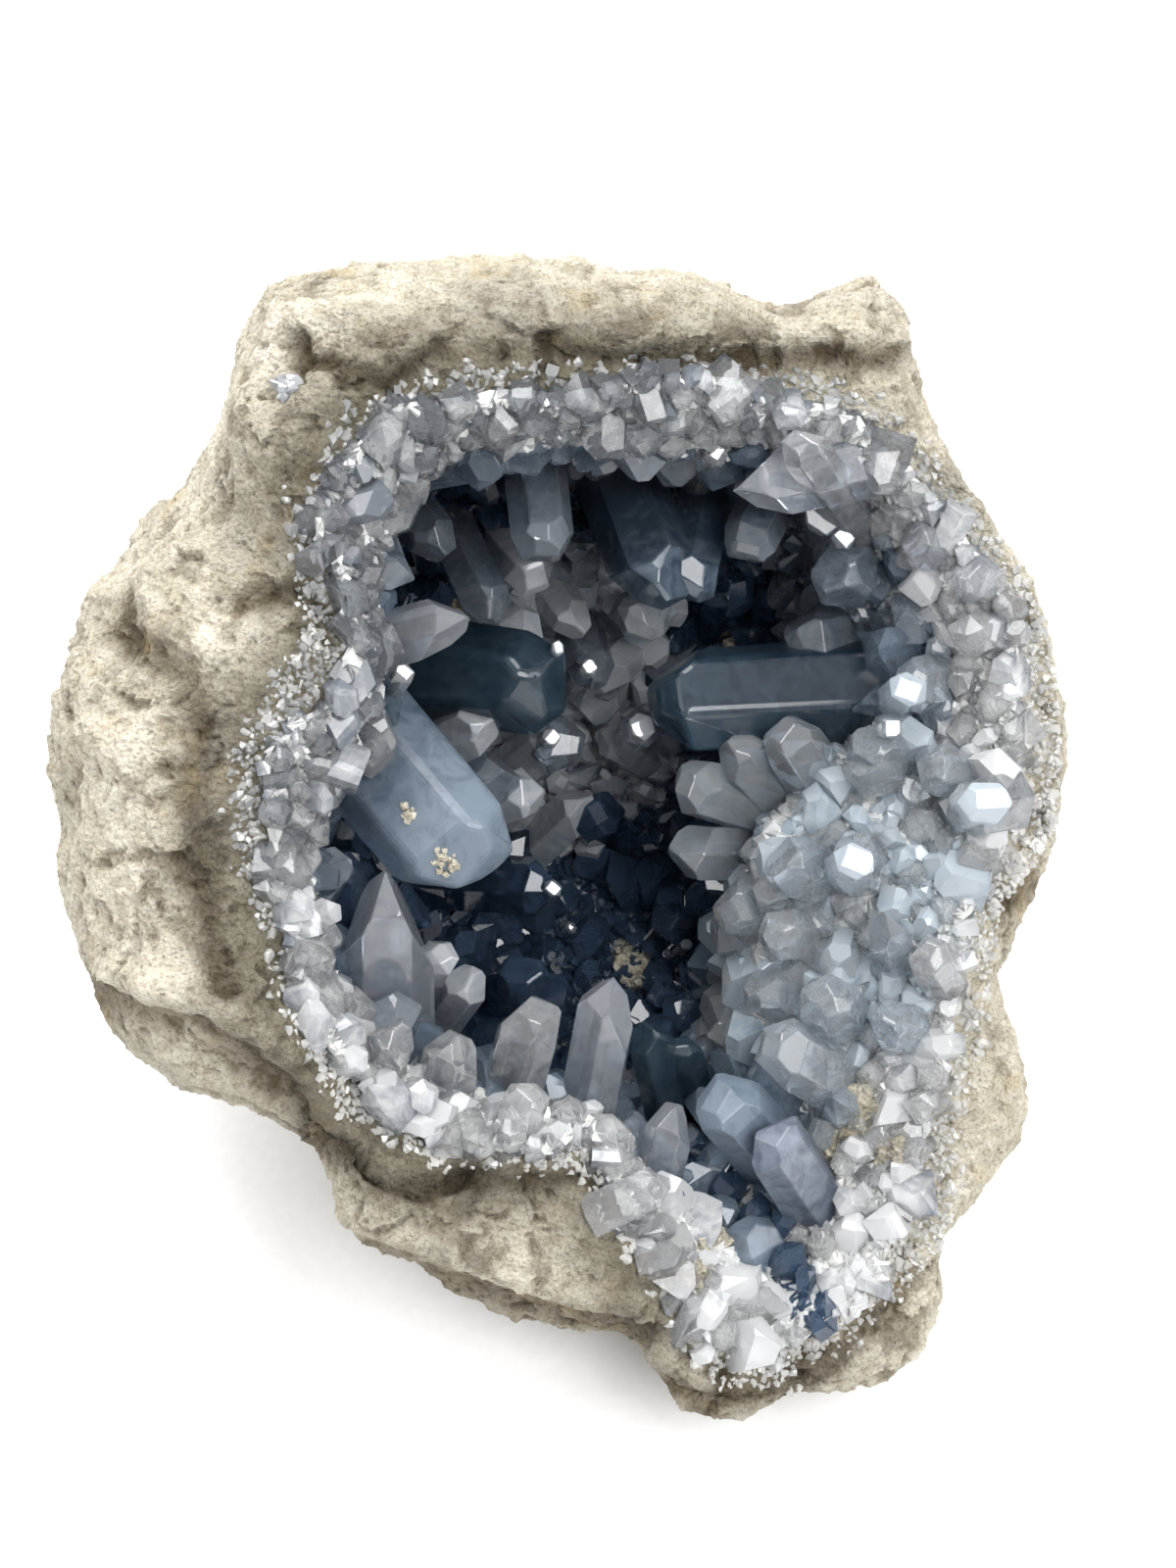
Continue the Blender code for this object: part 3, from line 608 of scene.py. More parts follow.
def limestone_material():
    """Sandy limestone: matt, cream to grey-beige, with grains of under 1 mm and a few dark specks."""
    material, tree = new_material("sandy limestone, broken")
    where = add_node(tree, "TexCoord").outputs["Object"]
    noises = {}
    tints = {}
    for name, (size, detail, roughness, stops) in STONE_LAYERS.items():
        settings = {"Scale": scale_for(size), "Detail": detail, "Roughness": roughness}
        noises[name] = add_node(tree, "TexNoise", settings, {"Vector": where})
        settings = {"stops": [(at, srgb(code)) for at, code in stops]}
        tints[name] = add_node(tree, "ValToRGB", settings, {"Fac": noises[name]})
    colour = tints["broad"]
    for name in ("mottle", "grains"):
        settings = {"blend_type": "MULTIPLY", "Fac": 0.8}
        colour = add_node(tree, "MixRGB", settings, {"Color1": colour, "Color2": tints[name]})
    # painted shade with some dirt, in the creases, under the lips and in the low grains
    dirt = add_node(tree, "Attribute", {"attribute_name": "dirt"}).outputs["Fac"]
    # the grey near the crystals: partly the rock's own grey, partly painted shade, fading out to the right
    # as painted light
    near = add_node(tree, "Attribute", {"attribute_name": "near_crystals"}).outputs["Fac"]
    patchy = add_node(tree, "Math", {"operation": "MULTIPLY"}, {0: near, 1: noises["broad"]})
    greyed_and_shaded = add_node(tree, "Math", {"operation": "MULTIPLY", "use_clamp": True, 1: 2.0}, {0: patchy})
    stains = (
        ("MIX", "#6A665E", tints["specks"]),
        ("MULTIPLY", "#887F71", dirt),
        ("MIX", "#C4B08A", tints["ochre"]),
        ("MULTIPLY", "#94928B", greyed_and_shaded),
    )
    for blend, code, share in stains:
        settings = {"blend_type": blend, "Color2": srgb(code)}
        colour = add_node(tree, "MixRGB", settings, {"Fac": share, "Color1": colour})
    sand = add_node(tree, "TexVoronoi", {"Scale": scale_for(SAND_GRAIN)}, {"Vector": where})
    pits = add_node(tree, "Bump", {"Strength": 1.0, "Distance": PIT_DEPTH}, {"Height": noises["mottle"]})
    settings = {"Strength": 1.0, "Distance": GRIT_DEPTH, "invert": True}
    grit = add_node(tree, "Bump", settings, {"Height": sand, "Normal": pits})
    settings = {"Roughness": 0.9, "IOR": 1.5, "Specular IOR Level": 0.25}
    shader = add_node(tree, "BsdfPrincipled", settings, {"Base Color": colour, "Normal": grit})
    add_node(tree, "OutputMaterial", links={"Surface": shader})
    return material


LIMESTONE = limestone_material()
rock_piece = add_piece("limestone_nodule", rock, LIMESTONE, "limestone_shell")
add_values(rock_piece, "dirt", dirts_and_shades)
add_values(rock_piece, "near_crystals", greys_and_shades)

# %% [markdown]
# ## Celestite finishes
# Celestite is strontium sulphate: clear and glassy, with an IOR of 1.62, and mostly full of fine veils
# that make it milky. Each finish is one plain shader. Its transmission lets light through, its base
# colour is the milkiness, and a Volume Absorption deepens the blue with thickness. Each zone of the
# hollow has a clear finish, and most have a veiled partner that lets less light through. A number
# stored on the mesh, the shade, says how pale a crystal is at each of its points.

# %% Celestite material
VEIL_SIZE = 3.85  # mm
VEIL_CONTRAST = 2.4
ETCHING_SIZE = 1.11  # mm


def celestite_material(name, pale, deep, transmission, roughness, absorbed, density):
    """Celestite: its veils make it mottle between pale and deep, and its faces are faintly etched."""
    material, tree = new_material(name)
    where = add_node(tree, "TexCoord").outputs["Object"]
    shade = add_node(tree, "Attribute", {"attribute_name": "shade"}).outputs["Fac"]
    settings = {"Scale": scale_for(VEIL_SIZE), "Detail": 4, "Roughness": 0.6, "Distortion": 0.8}
    veils = add_node(tree, "TexNoise", settings, {"Vector": where})
    settings = {"operation": "MULTIPLY_ADD", 1: VEIL_CONTRAST, 2: -VEIL_CONTRAST / 2}
    veiled = add_node(tree, "Math", settings, {0: veils})
    mixed = add_node(tree, "Math", {"operation": "ADD", "use_clamp": True}, {0: shade, 1: veiled})
    colour = add_node(tree, "ValToRGB", {"stops": [(0.0, srgb(deep)), (1.0, srgb(pale))]}, {"Fac": mixed})
    etching = add_node(tree, "TexNoise", {"Scale": scale_for(ETCHING_SIZE), "Detail": 2}, {"Vector": where})
    settings = {"To Min": roughness * 0.75, "To Max": roughness * 1.25}
    gloss = add_node(tree, "MapRange", settings, {"Value": etching})
    settings = {"Transmission Weight": transmission, "IOR": 1.62}
    shader = add_node(tree, "BsdfPrincipled", settings, {"Base Color": colour, "Roughness": gloss})
    volume = add_node(tree, "VolumeAbsorption", {"Color": srgb(absorbed), "Density": density})
    add_node(tree, "OutputMaterial", links={"Surface": shader, "Volume": volume})
    return material


print("veils of", VEIL_SIZE, "mm")

# %% The finishes
RECIPES = {
    # name, palest and deepest milkiness, transmission, roughness, colour and density of the absorption
    "druse": ("celestite druse", "#DEDEDB", "#4A5665", 0.15, 0.30, "#B4C0CC", 20),
    "fringe": ("celestite, sugary", "#ECEAE5", "#B5B6B5", 0.50, 0.18, "#E0E0DE", 10),
    "rim": ("celestite, clear grey", "#FDFDFD", "#B0B5BB", 0.86, 0.05, "#CAD0D8", 20),
    "ice": ("celestite, whitish", "#F6F7F8", "#8E959E", 0.55, 0.10, "#D0D7E2", 15),
    "mound": ("celestite, clear blue", "#F6FAFD", "#DCE7EF", 0.86, 0.05, "#B0C7DA", 35),
    "haze": ("celestite, pale blue", "#E4EFF7", "#B0C6D7", 0.58, 0.08, "#B8CCDD", 18),
    "wall": ("celestite, clear slate", "#DCE6F0", "#95A5B6", 0.85, 0.05, "#94ABC2", 60),
    "slate": ("celestite, slate blue", "#8495A5", "#4A5A6B", 0.60, 0.08, "#98AEC2", 40),
    "smoky": ("celestite, smoky clear", "#F5F9FD", "#C0CBD5", 0.62, 0.05, "#BCCAD6", 18),
    # the dark blue finish, used in the depth and in the cleft, is partly painted shade
    "deep": ("celestite, dark blue with painted shade", "#5A7290", "#22354B", 0.75, 0.05, "#7895B2", 80),
    "milky": ("celestite, milky blue", "#A4B5C6", "#5A6F85", 0.65, 0.42, "#A2BAD0", 30),
    "lilac": ("celestite, lilac grey", "#F5F8FC", "#BCC6D4", 0.85, 0.08, "#C0CADA", 22),
    "teal": ("celestite, deep teal", "#587283", "#30475A", 0.75, 0.22, "#7597AF", 55),
    "frosted": ("celestite, frosted grey", "#8F98A8", "#485464", 0.4, 0.35, "#AFBACB", 30),
}
FINISHES = {finish: celestite_material(*recipe) for finish, recipe in RECIPES.items()}
print("mixed", len(FINISHES), "celestite finishes")

# %% [markdown]
# ## The bed of the crust
# Under the large crystals the wall is covered by a bed of tiny ones. Modelling each would be wasted, for
# only their points show. So the wall's faces are cut small, extruded to give the bed a thickness, and
# each front face is poked up into a low pyramid: a carpet of flat-faced points for the price of one
# surface. Like the crystals on it, the bed ends at a line that is drawn as picture points.

# %% The line to which the crystals reach
RIM_LINE = (
    (372, 436), (440, 402), (520, 392), (600, 400), (660, 386), (760, 386), (830, 398), (885, 432),
    (930, 470), (965, 520), (1003, 560), (1036, 604), (1060, 650), (1071, 700), (1074, 760), (1068, 830),
    (1056, 892),
    (1008, 930), (986, 1000), (976, 1080), (966, 1150), (960, 1220), (948, 1288), (884, 1322), (842, 1368),
    (800, 1392), (746, 1396), (702, 1344), (686, 1290), (640, 1236), (600, 1184), (540, 1170), (470, 1176),
    (400, 1148), (350, 1108), (312, 1040), (292, 960), (262, 900), (250, 840), (252, 780), (284, 720),
    (298, 650), (306, 600), (318, 540), (346, 480), (372, 436),
)
RIM_BLUR = 2.2 * MM  # over which the crystals thin out beyond that line
LINE_DEPTH = 14 * MM  # the line doesn't count deeper below the mouth than this
THIN_DEPTH = 10 * MM  # down to this depth the bed is thinner


def inside_rim_line(pixel):
    """Whether a level line from a picture point crosses the rim line an odd number of times."""
    inside = False
    for start, end in zip(RIM_LINE, RIM_LINE[1:]):
        if (start[1] > pixel.y) != (end[1] > pixel.y):
            share = (pixel.y - start[1]) / (end[1] - start[1])
            inside ^= pixel.x < start[0] + share * (end[0] - start[0])
    return inside


def outside_rim(place):
    """How far a spot near the mouth lies outside the line to which the crystals reach."""
    if below_rim(place) > LINE_DEPTH:
        return 0
    pixel = pixel_of(place)[0]
    if inside_rim_line(pixel):
        return 0
    return side_of_path(pixel, RIM_LINE)[0]


print("the crystals reach to a line of", len(RIM_LINE) - 1, "picture points")

# %% Druse bed
BED_FACE = 3.6 * MM
BED_THICKNESS = 2.6 * MM
BED_GAP = 0.3 * MM
BED_POINT = 0.9 * MM


def cut_to_length(shape, longest):
    """Split every edge longer than a length, over and over, into small triangles."""
    for _ in range(4):
        long_edges = [edge for edge in shape.edges if edge.calc_length() > longest]
        if not long_edges:
            return
        bmesh.ops.subdivide_edges(shape, edges=long_edges, cuts=1)
        triangulate(shape)


def druse_bed():
    """The bed as a closed bmesh: small triangles with a low point on each front one."""
    chance = random.Random(3)
    shape = WALL.copy()
    triangulate(shape)
    cut_to_length(shape, BED_FACE)
    outside = [face for face in shape.faces if outside_rim(face.calc_center_median()) > 0.5 * MM]
    bmesh.ops.delete(shape, geom=outside, context="FACES")
    shape.normal_update()
    normals = {tuple(point.co): point.normal.copy() for point in shape.verts}
    back = shape.verts[:]
    grown = bmesh.ops.extrude_face_region(shape, geom=shape.faces[:], use_keep_orig=True)["geom"]
    front = [item for item in grown if isinstance(item, bmesh.types.BMFace)]
    for point in [item for item in grown if isinstance(item, bmesh.types.BMVert)]:
        normal = normals[tuple(point.co)]
        deep = ease(below_rim(point.co), 0, THIN_DEPTH)
        jitter = Vector([chance.uniform(-0.6, 0.6) for _ in range(3)]) * MM
        point.co += normal * (BED_GAP + (0.4 + 0.6 * deep) * BED_THICKNESS) + jitter * deep
    for point in back:
        point.co += normals[tuple(point.co)] * BED_GAP
    bmesh.ops.recalc_face_normals(shape, faces=shape.faces[:])
    poked = bmesh.ops.poke(shape, faces=front)
    for point in poked["verts"]:
        point.co += point.normal * chance.uniform(0.3, 1.6) * BED_POINT
    return shape


PALE_DEPTH = 8 * MM  # the bed's painted shade starts at this depth below the rim
DARK_DEPTH = 40 * MM  # and is darkest at this one


def add_crystals(name, shape, finish, shades):
    """Add a piece that stands for the crust, with a shade for each of its points."""
    piece = add_piece(name, shape, FINISHES[finish], "celestite_crust")
    add_values(piece, "shade", shades)


bed = druse_bed()
# the bed is pale at the rim and dark in the depth: painted shade
add_crystals("druse_bed", bed, "druse",
             [1 - ease(below_rim(point.co), PALE_DEPTH, DARK_DEPTH) for point in bed.verts])

# %% [markdown]
# ## One crystal
# A celestite crystal here is a stubby prism with a roof. In Blender that is a cone whose two radii are
# nearly equal, with its top cut off by a few sloping planes. Each cut is closed again, so every face
# stays flat, which is what makes it read as crystal. A few numbers, its habit, set the cuts.

# %% Crystal shapes
def slice_off(shape, point, normal):
    """Cut away what lies beyond a plane and close the cut."""
    edges = cut(shape, point, normal, clear_outer=True)
    if edges:
        bmesh.ops.contextual_create(shape, geom=edges)


HABITS = {
    # half-widths left flat at the tip, slopes of the roof's faces in degrees, corner cuts
    "sharp": ((0.0, 0.10), (62, 52), 1),
    "chisel": ((0.06, 0.45), (50, 42), 2),
    "blunt": ((0.40, 0.50), (42, 36), 3),
    "table": ((0.62, 0.70), (50, 50), 0),
}
ROOF_JITTER = (7, 8)  # how many degrees a roof's face may be steeper or flatter, by axis


def crystal_shape(size, habit, sides, chance):
    """A prism with its tip at the origin and its root at -length; size is width, thickness, length."""
    width, thick, length = size
    shape = bmesh.new()
    bmesh.ops.create_cone(shape, cap_ends=True, segments=sides, radius1=0.5, radius2=0.46, depth=1)
    twist = Matrix.Rotation(chance.uniform(0.2, 0.5), 3, "Z")
    bmesh.ops.rotate(shape, matrix=twist, verts=shape.verts)
    bmesh.ops.scale(shape, vec=size, verts=shape.verts)
    bmesh.ops.translate(shape, vec=(0, 0, -length / 2), verts=shape.verts)
    flats, slopes, corners = HABITS[habit]
    for axis, (low, high) in enumerate(((0.5, 1.3), (0.4, 1.2))):
        for side in (1, -1):
            slope = math.radians(slopes[axis] + chance.uniform(-ROOF_JITTER[axis], ROOF_JITTER[axis]))
            point = Vector((0, 0, 0))
            level = Vector((0, 0, math.cos(slope)))
            point[axis] = side * size[axis] / 2 * flats[axis] * chance.uniform(low, high)
            level[axis] = side * math.sin(slope)
            slice_off(shape, point, level)
    for _ in range(corners):
        turn = chance.uniform(0, 2 * math.pi)
        slope = math.radians(chance.uniform(48, 68))
        reach = 0.30 * min(width, thick) * chance.uniform(0.8, 1.2)
        outward = Vector((math.cos(turn), math.sin(turn), 0))
        point = outward * reach - Vector((0, 0, 0.1 * width))
        slice_off(shape, point, outward * math.sin(slope) + Vector((0, 0, math.cos(slope))))
    return shape


def aim(tip, root, twist):
    """A matrix that puts the origin at the tip, +Z away from the root and the broad side to the eye."""
    forward = (tip - root).normalized()
    side = TO_EYE.cross(forward).normalized()
    turn = Matrix((side, forward.cross(side), forward)).transposed().to_4x4()
    return Matrix.Translation(tip) @ turn @ Matrix.Rotation(twist, 4, "Z")


print("a crystal has one of the habits", ", ".join(HABITS))

# %% [markdown]
# ## The large crystals
# The eye goes to the big ones first, so each of these is listed: where the picture shows its tip,
# where it grows from, how wide and thick it is, and which finish it has. Their edges get a hair of
# bevel, for a real crystal's edges are never perfectly keen and catch a thin line of light. The three
# widest are worn, so theirs is wider and round. Others end in a flat table that is aimed halfway
# between the eye and the small window: those are the white flashes.

# %% Large crystals
# the two slate crystals under the top rim, at 676 606 and 702 598, have a low shade: partly their colour,
# partly painted shade where little light reaches
LARGE_CRYSTALS = """
486 893 31 378 765 19 25 18 blunt milky 0.7
392 765 33 330 720 18 14 12 blunt rim 0.6
393 888 34 395 1060 18 17 13 sharp lilac 0.6
352 878 26 350 1010 10 10 9 chisel deep 0.6
625 998 30 600 1130 12 12 9 sharp lilac 0.9
562 700 8 420 680 -8 21 17 blunt teal 0.35
668 716 8 880 705 -2 21 18 blunt teal 0.4
545 592 -8 512 555 -24 10 8 blunt smoky 0.7
590 640 -16 560 600 -32 9 8 chisel smoky 0.8
612 692 -22 645 660 -38 10 8 chisel smoky 0.9
563 754 -18 520 785 -34 10 8 blunt smoky 0.8
624 752 -26 662 775 -42 10 8 blunt smoky 0.6
540 652 -12 498 622 -28 11 9 chisel smoky 0.6
500 735 6 440 765 -10 11 9 chisel smoky 0.5
542 806 -4 482 826 -20 11 9 blunt smoky 0.5
598 815 -26 558 852 -40 11 9 chisel smoky 0.5
650 640 -18 676 600 -34 11 9 blunt smoky 0.4
450 973 22 430 1010 0 8 7 blunt smoky 0.6
480 1000 18 450 1040 -4 9 8 chisel smoky 0.6
676 606 16 640 510 -8 17 13 chisel slate 0.1
702 598 12 722 510 -10 12 10 blunt slate 0.1
750 500 26 890 470 18 13 9 sharp lilac 0.5
815 452 34 850 500 20 9 8 blunt rim 0.5
478 630 34 370 660 22 11 8 sharp lilac 0.9
555 562 22 545 470 5 12 10 blunt wall 0.7
500 622 14 470 560 -6 11 9 chisel wall 0.4
850 600 14 905 550 -8 14 11 chisel wall 0.4
812 655 4 900 640 -16 13 11 blunt wall 0.4
930 562 20 990 540 6 10 8 chisel lilac 0.5
982 595 21 1035 580 8 9 8 blunt lilac 0.6
990 645 19 1055 640 6 9 8 sharp lilac 0.7
922 702 16 990 690 0 11 9 blunt mound 0.4
875 770 16 960 760 0 12 10 chisel mound 0.4
945 785 18 1010 790 4 10 8 blunt mound 0.5
980 828 22 1045 815 10 12 10 chisel rim 0.5
868 877 24 890 890 0 12 9 blunt mound 0.7
795 890 20 870 880 -2 13 10 chisel mound 0.6
700 800 10 800 830 -10 12 10 blunt mound 0.5
745 760 12 810 830 -8 11 9 chisel mound 0.5
800 745 14 850 820 -4 12 10 blunt mound 0.6
690 870 6 790 870 -12 12 10 chisel mound 0.4
742 935 10 820 900 -8 12 10 blunt mound 0.5
788 955 18 850 955 -2 11 9 blunt mound 0.8
902 932 24 920 1010 6 9 7 sharp mound 0.6
945 972 26 970 1010 10 9 8 blunt rim 0.7
768 1015 14 860 1010 -4 12 10 chisel mound 0.5
840 1015 22 870 1060 2 12 9 blunt mound 0.6
905 1040 24 940 1060 8 10 8 chisel mound 0.5
788 1066 22 870 1110 6 13 10 blunt mound 0.9
735 1118 22 800 1190 4 14 12 blunt milky 0.7
785 1158 26 840 1240 8 13 11 blunt frosted 0.4
758 1252 16 815 1330 2 13 11 blunt milky 0.5
690 1128 26 668 1210 12 9 7 sharp lilac 0.8
660 1045 10 685 1150 -6 9 8 chisel teal 0.6
695 1062 4 715 1150 -10 8 7 blunt teal 0.5
545 1032 32 520 1120 16 12 10 blunt rim 0.6
465 1060 34 445 1150 20 11 9 chisel rim 0.4
540 1112 36 515 1180 24 9 8 blunt rim 0.9
405 1048 38 375 1120 24 9 8 chisel rim 0.6
300 868 44 262 930 32 9 8 chisel rim 0.9
322 806 38 275 850 28 8 7 blunt rim 0.5
338 800 38 275 790 30 10 8 blunt rim 0.4
520 790 0 430 800 -14 12 10 chisel wall 0.5
560 905 -8 480 900 -24 12 10 blunt deep 0.5
575 760 -14 540 760 -40 12 10 blunt wall 0.5
655 742 -6 650 750 -40 9 8 blunt wall 0.7
605 690 -10 590 640 -36 10 8 chisel wall 0.5
610 830 -26 610 850 -48 12 10 blunt deep 0.5
545 1000 0 500 1010 -20 12 10 chisel deep 0.6
690 940 -24 680 950 -48 11 9 chisel deep 0.3
450 560 14 420 520 0 10 8 chisel wall 0.3
760 560 14 790 500 -4 11 9 blunt wall 0.5
"""  # tip and root as x, y and depth in mm; width and thickness in mm; habit, finish, shade
MIRRORS = (
    # picture point, width in mm and finish of crystals whose end mirrors the small window
    (545, 596, 4.5, "smoky"), (583, 640, 4, "smoky"), (570, 662, 3, "smoky"), (602, 681, 3.5, "smoky"),
    (415, 688, 4, "rim"), (397, 708, 6, "ice"), (655, 741, 6, "smoky"), (563, 752, 4, "smoky"),
    (614, 752, 3.5, "smoky"), (858, 551, 5, "wall"), (565, 905, 4, "wall"), (583, 945, 3, "wall"),
    (450, 973, 3.5, "smoky"), (320, 935, 3.5, "rim"), (870, 877, 8, "haze"), (925, 703, 8, "haze"),
    (1003, 817, 10, "haze"), (906, 743, 5, "mound"), (730, 466, 5, "rim"), (618, 790, 3, "smoky"),
    (700, 962, 3, "wall"),
)
print("listed", len(LARGE_CRYSTALS.splitlines()) - 1, "crystals and", len(MIRRORS), "mirrors")

# %% From a list to crystals
MIRROR_LIFT = 4 * MM  # how far a mirror's end stands out from the solid crust
MIRROR_SHADE = 0.9
EDGE_BEVEL = 0.18 * MM
WORN_WIDTH = 18  # crystals wider than this, in mm, have worn round edges and one face to the eye
WORN_BEVEL = 1.3 * MM
WORN_TWIST = 0.3
ROOT_TO_TIP = 0.7  # how much paler a tip is than a root
RING_DEPTH = 0.9  # widths below the tip, where a ring of points carries the shade halfway
LONGEST_ROOT = 60 * MM
ROOT_STOP = 0.6 * MM  # how far before the rock a root ends


def root_length(tip, root):
    """How long a crystal is that ends just in the bed behind its root."""
    back = (root - tip).normalized()
    distance = ROCK_TREE.ray_cast(tip, back)[3] or (root - tip).length
    return min(distance - ROOT_STOP, LONGEST_ROOT)


def join_shapes(shapes):
    """One bmesh of several, with the shades of all their points in one list."""
    whole = bmesh.new()
    shades = []
    for data, own in shapes:
        whole.from_mesh(data)
        shades += own
        bpy.data.meshes.remove(data)
    return whole, shades


def shades_along(data, shade, low, high):
    """A shade for each point: deep at a crystal's root, at height low, and pale at its tip."""
    return [shade + ROOT_TO_TIP * (ease(point.co.z, low, high) - 0.6) for point in data.vertices]


def mirror_root(tip):
    """Where a crystal must grow from for its flat end to mirror the small window to the eye."""
    to_eye = (camera.matrix_world.translation - tip).normalized()
    to_window = (SMALL_WINDOW - tip).normalized()
    return tip - (to_eye + to_window).normalized() * 10 * MM  # any length shows the direction


def large_crystals():
    """The shapes by finish, and the line and half-width of each crystal."""
    chance = random.Random(5)
    listed = []
    for row in LARGE_CRYSTALS.split("\n")[1:-1]:
        *numbers, habit, finish, shade = row.split()
        numbers = [float(number) for number in numbers]
        tip, root = seen_at(*numbers[:3]), seen_at(*numbers[3:6])
        listed.append((tip, root, *numbers[6:], habit, finish, float(shade)))
    for x, y, width, finish in MIRRORS:
        place = seen_surface(CRUST_TREE, x, y)[0] + TO_EYE * MIRROR_LIFT
        listed.append((place, mirror_root(place), width, 0.85 * width, "table", finish, MIRROR_SHADE))
    by_finish = {}
    bodies = []
    for tip, root, width, thick, habit, finish, shade in listed:
        size = (width * MM, thick * MM, root_length(tip, root))
        shape = crystal_shape(size, habit, 6, chance)
        worn = width > WORN_WIDTH
        bmesh.ops.bevel(
            shape, geom=shape.edges[:], offset=WORN_BEVEL if worn else EDGE_BEVEL, affect="EDGES",
            segments=3 if worn else 1, profile=0.5, material=-1
        )
        middle = Vector((0, 0, -RING_DEPTH * width * MM))
        cut(shape, middle, (0, 0, 1))
        data = mesh_of(shape)
        shades = shades_along(data, shade, 2 * middle.z, 0)
        data.transform(aim(tip, root, WORN_TWIST if worn else chance.uniform(-0.5, 0.5)))
        by_finish.setdefault(finish, []).append((data, shades))
        bodies.append((tip, (root - tip).normalized(), size[2], width * MM / 2))
    return by_finish, bodies


large_by_finish, LARGE_BODIES = large_crystals()
for finish, shapes in sorted(large_by_finish.items()):
    whole, shades = join_shapes(shapes)
    add_crystals("large_" + finish, whole, finish, shades)

# %% [markdown]
# ## Prototypes of small crystals
# Thousands of crystals fill the wall between the large ones. Cutting each would take long, and nobody
# can tell a few dozen turned, stretched copies from as many originals. So we cut some blocky chunks
# and some stubby prisms, each one unit wide, to copy from.

# %% Prototypes
CHUNK_CUTS = 8


def stand(data, place, away, spin, size):
    """Put a prototype's mesh on a surface: scaled, spun about its axis and pointing away."""
    turn = away.to_track_quat("Z", "Y").to_matrix().to_4x4()
    data.transform(Matrix.Translation(place) @ turn @ Matrix.Rotation(spin, 4, "Z") @ Matrix.Diagonal(size))


def chunk_shape(chance):
    """A blocky crystal with its foot at the origin: a cube with its upper corners cut off at random."""
    shape = bmesh.new()
    bmesh.ops.create_cube(shape, size=1)
    for _ in range(CHUNK_CUTS):
        turn = chance.uniform(0, 2 * math.pi)
        rise = chance.uniform(0.15, 1.4)
        flat = math.cos(rise)
        normal = Vector((math.cos(turn) * flat, math.sin(turn) * flat, math.sin(rise)))
        slice_off(shape, normal * chance.uniform(0.33, 0.48), normal)
    bmesh.ops.translate(shape, vec=(0, 0, 0.1), verts=shape.verts)
    bmesh.ops.scale(shape, vec=(1, 1, 1.7), verts=shape.verts)
    return shape


def prism_shape(chance):
    """A stubby roofed prism with its root at -0.9 and its tip at height 1."""
    habit = chance.choice(["sharp", "chisel", "chisel", "blunt"])
    shape = crystal_shape((1.0, chance.uniform(0.7, 1.0), 1.9), habit, 6, chance)
    bmesh.ops.translate(shape, vec=(0, 0, 1.0), verts=shape.verts)
    return shape


chance = random.Random(8)
CHUNKS = [mesh_of(chunk_shape(chance)) for _ in range(18)]
PRISMS = [mesh_of(prism_shape(chance)) for _ in range(24)]
print("a chunk has", len(CHUNKS[0].polygons), "faces and a prism", len(PRISMS[0].polygons))

# %% [markdown]
# ## Bits of the rock among the crystals
# Here and there the limestone shows between the crystals, and crumbs of it sit on the large blue one.
# Crystals also fill a small pit beside the knob. The lumps are spheres roughened by noise, and the
# bits are chunks that we drop onto a surface where the eye's line through a picture point meets it.

# %% Lumps and crumbs
MATRIX_LUMPS = (
    # picture point, width and height in mm
    (658, 1002, 11, 6), (640, 975, 7, 4), (462, 612, 9, 5), (755, 662, 9, 5), (885, 1128, 12, 5),
    (852, 1165, 9, 5), (722, 1272, 10, 4), (700, 1300, 7, 4), (912, 1175, 8, 4), (445, 560, 7, 4),
)
# the lumps take an even share of the rock's crease darkening, painted shade with some dirt
LUMP_DIRT_AND_SHADE = 0.15
# each cluster of bits: its middle as a picture point, its spread in pixels and how many it has
CRUMB_CLUSTERS = (((417, 832), 5, 9), ((455, 880), 7, 15))
CRUMB_WIDTHS = (0.6 * MM, 1.4 * MM)
PIT_CLUSTERS = (((293, 393), 5, 14),)
PIT_WIDTHS = (1.0 * MM, 2.2 * MM)


def lump_shape(place, normal, width, height):
    """A rough limestone lump that sits on a wall."""
    shape = bmesh.new()
    bmesh.ops.create_icosphere(shape, subdivisions=4, radius=0.5)
    for point in shape.verts:
        bulge = noise.fractal(point.co * 3 + place / MM, 0.7, 2.1, 5)
        point.co *= 1 + 0.55 * bulge
    data = mesh_of(shape)
    stand(data, place, normal, 0, (width, width, 2 * height, 1))
    return data


def lumps():
    shapes = []
    for x, y, width, height in MATRIX_LUMPS:
        place, normal = seen_surface(ROCK_TREE, x, y)
        shapes.append((lump_shape(place, normal, width * MM, height * MM), []))
    return join_shapes(shapes)[0]


def tree_of(data):
    return BVHTree.FromPolygons([p.co for p in data.vertices], [f.vertices for f in data.polygons])


def bit_at(tree, point, width, chance):
    """One small chunk on a surface at a picture point, and the shade of its points."""
    place, normal = seen_surface(tree, *point)
    data = chance.choice(CHUNKS).copy()
    stand(data, place, normal, chance.uniform(0, 2 * math.pi), (width, width, 0.7 * width, 1))
    return data, [chance.uniform(0.3, 0.9)] * len(data.vertices)


def small_bits(tree, spots, widths, chance):
    """Clusters of small chunks stuck on a surface."""
    shapes = []
    for (x, y), spread, count in spots:
        points = [(chance.gauss(x, spread), chance.gauss(y, spread)) for _ in range(count)]
        shapes += [bit_at(tree, point, chance.uniform(*widths), chance) for point in points]
    return join_shapes(shapes)


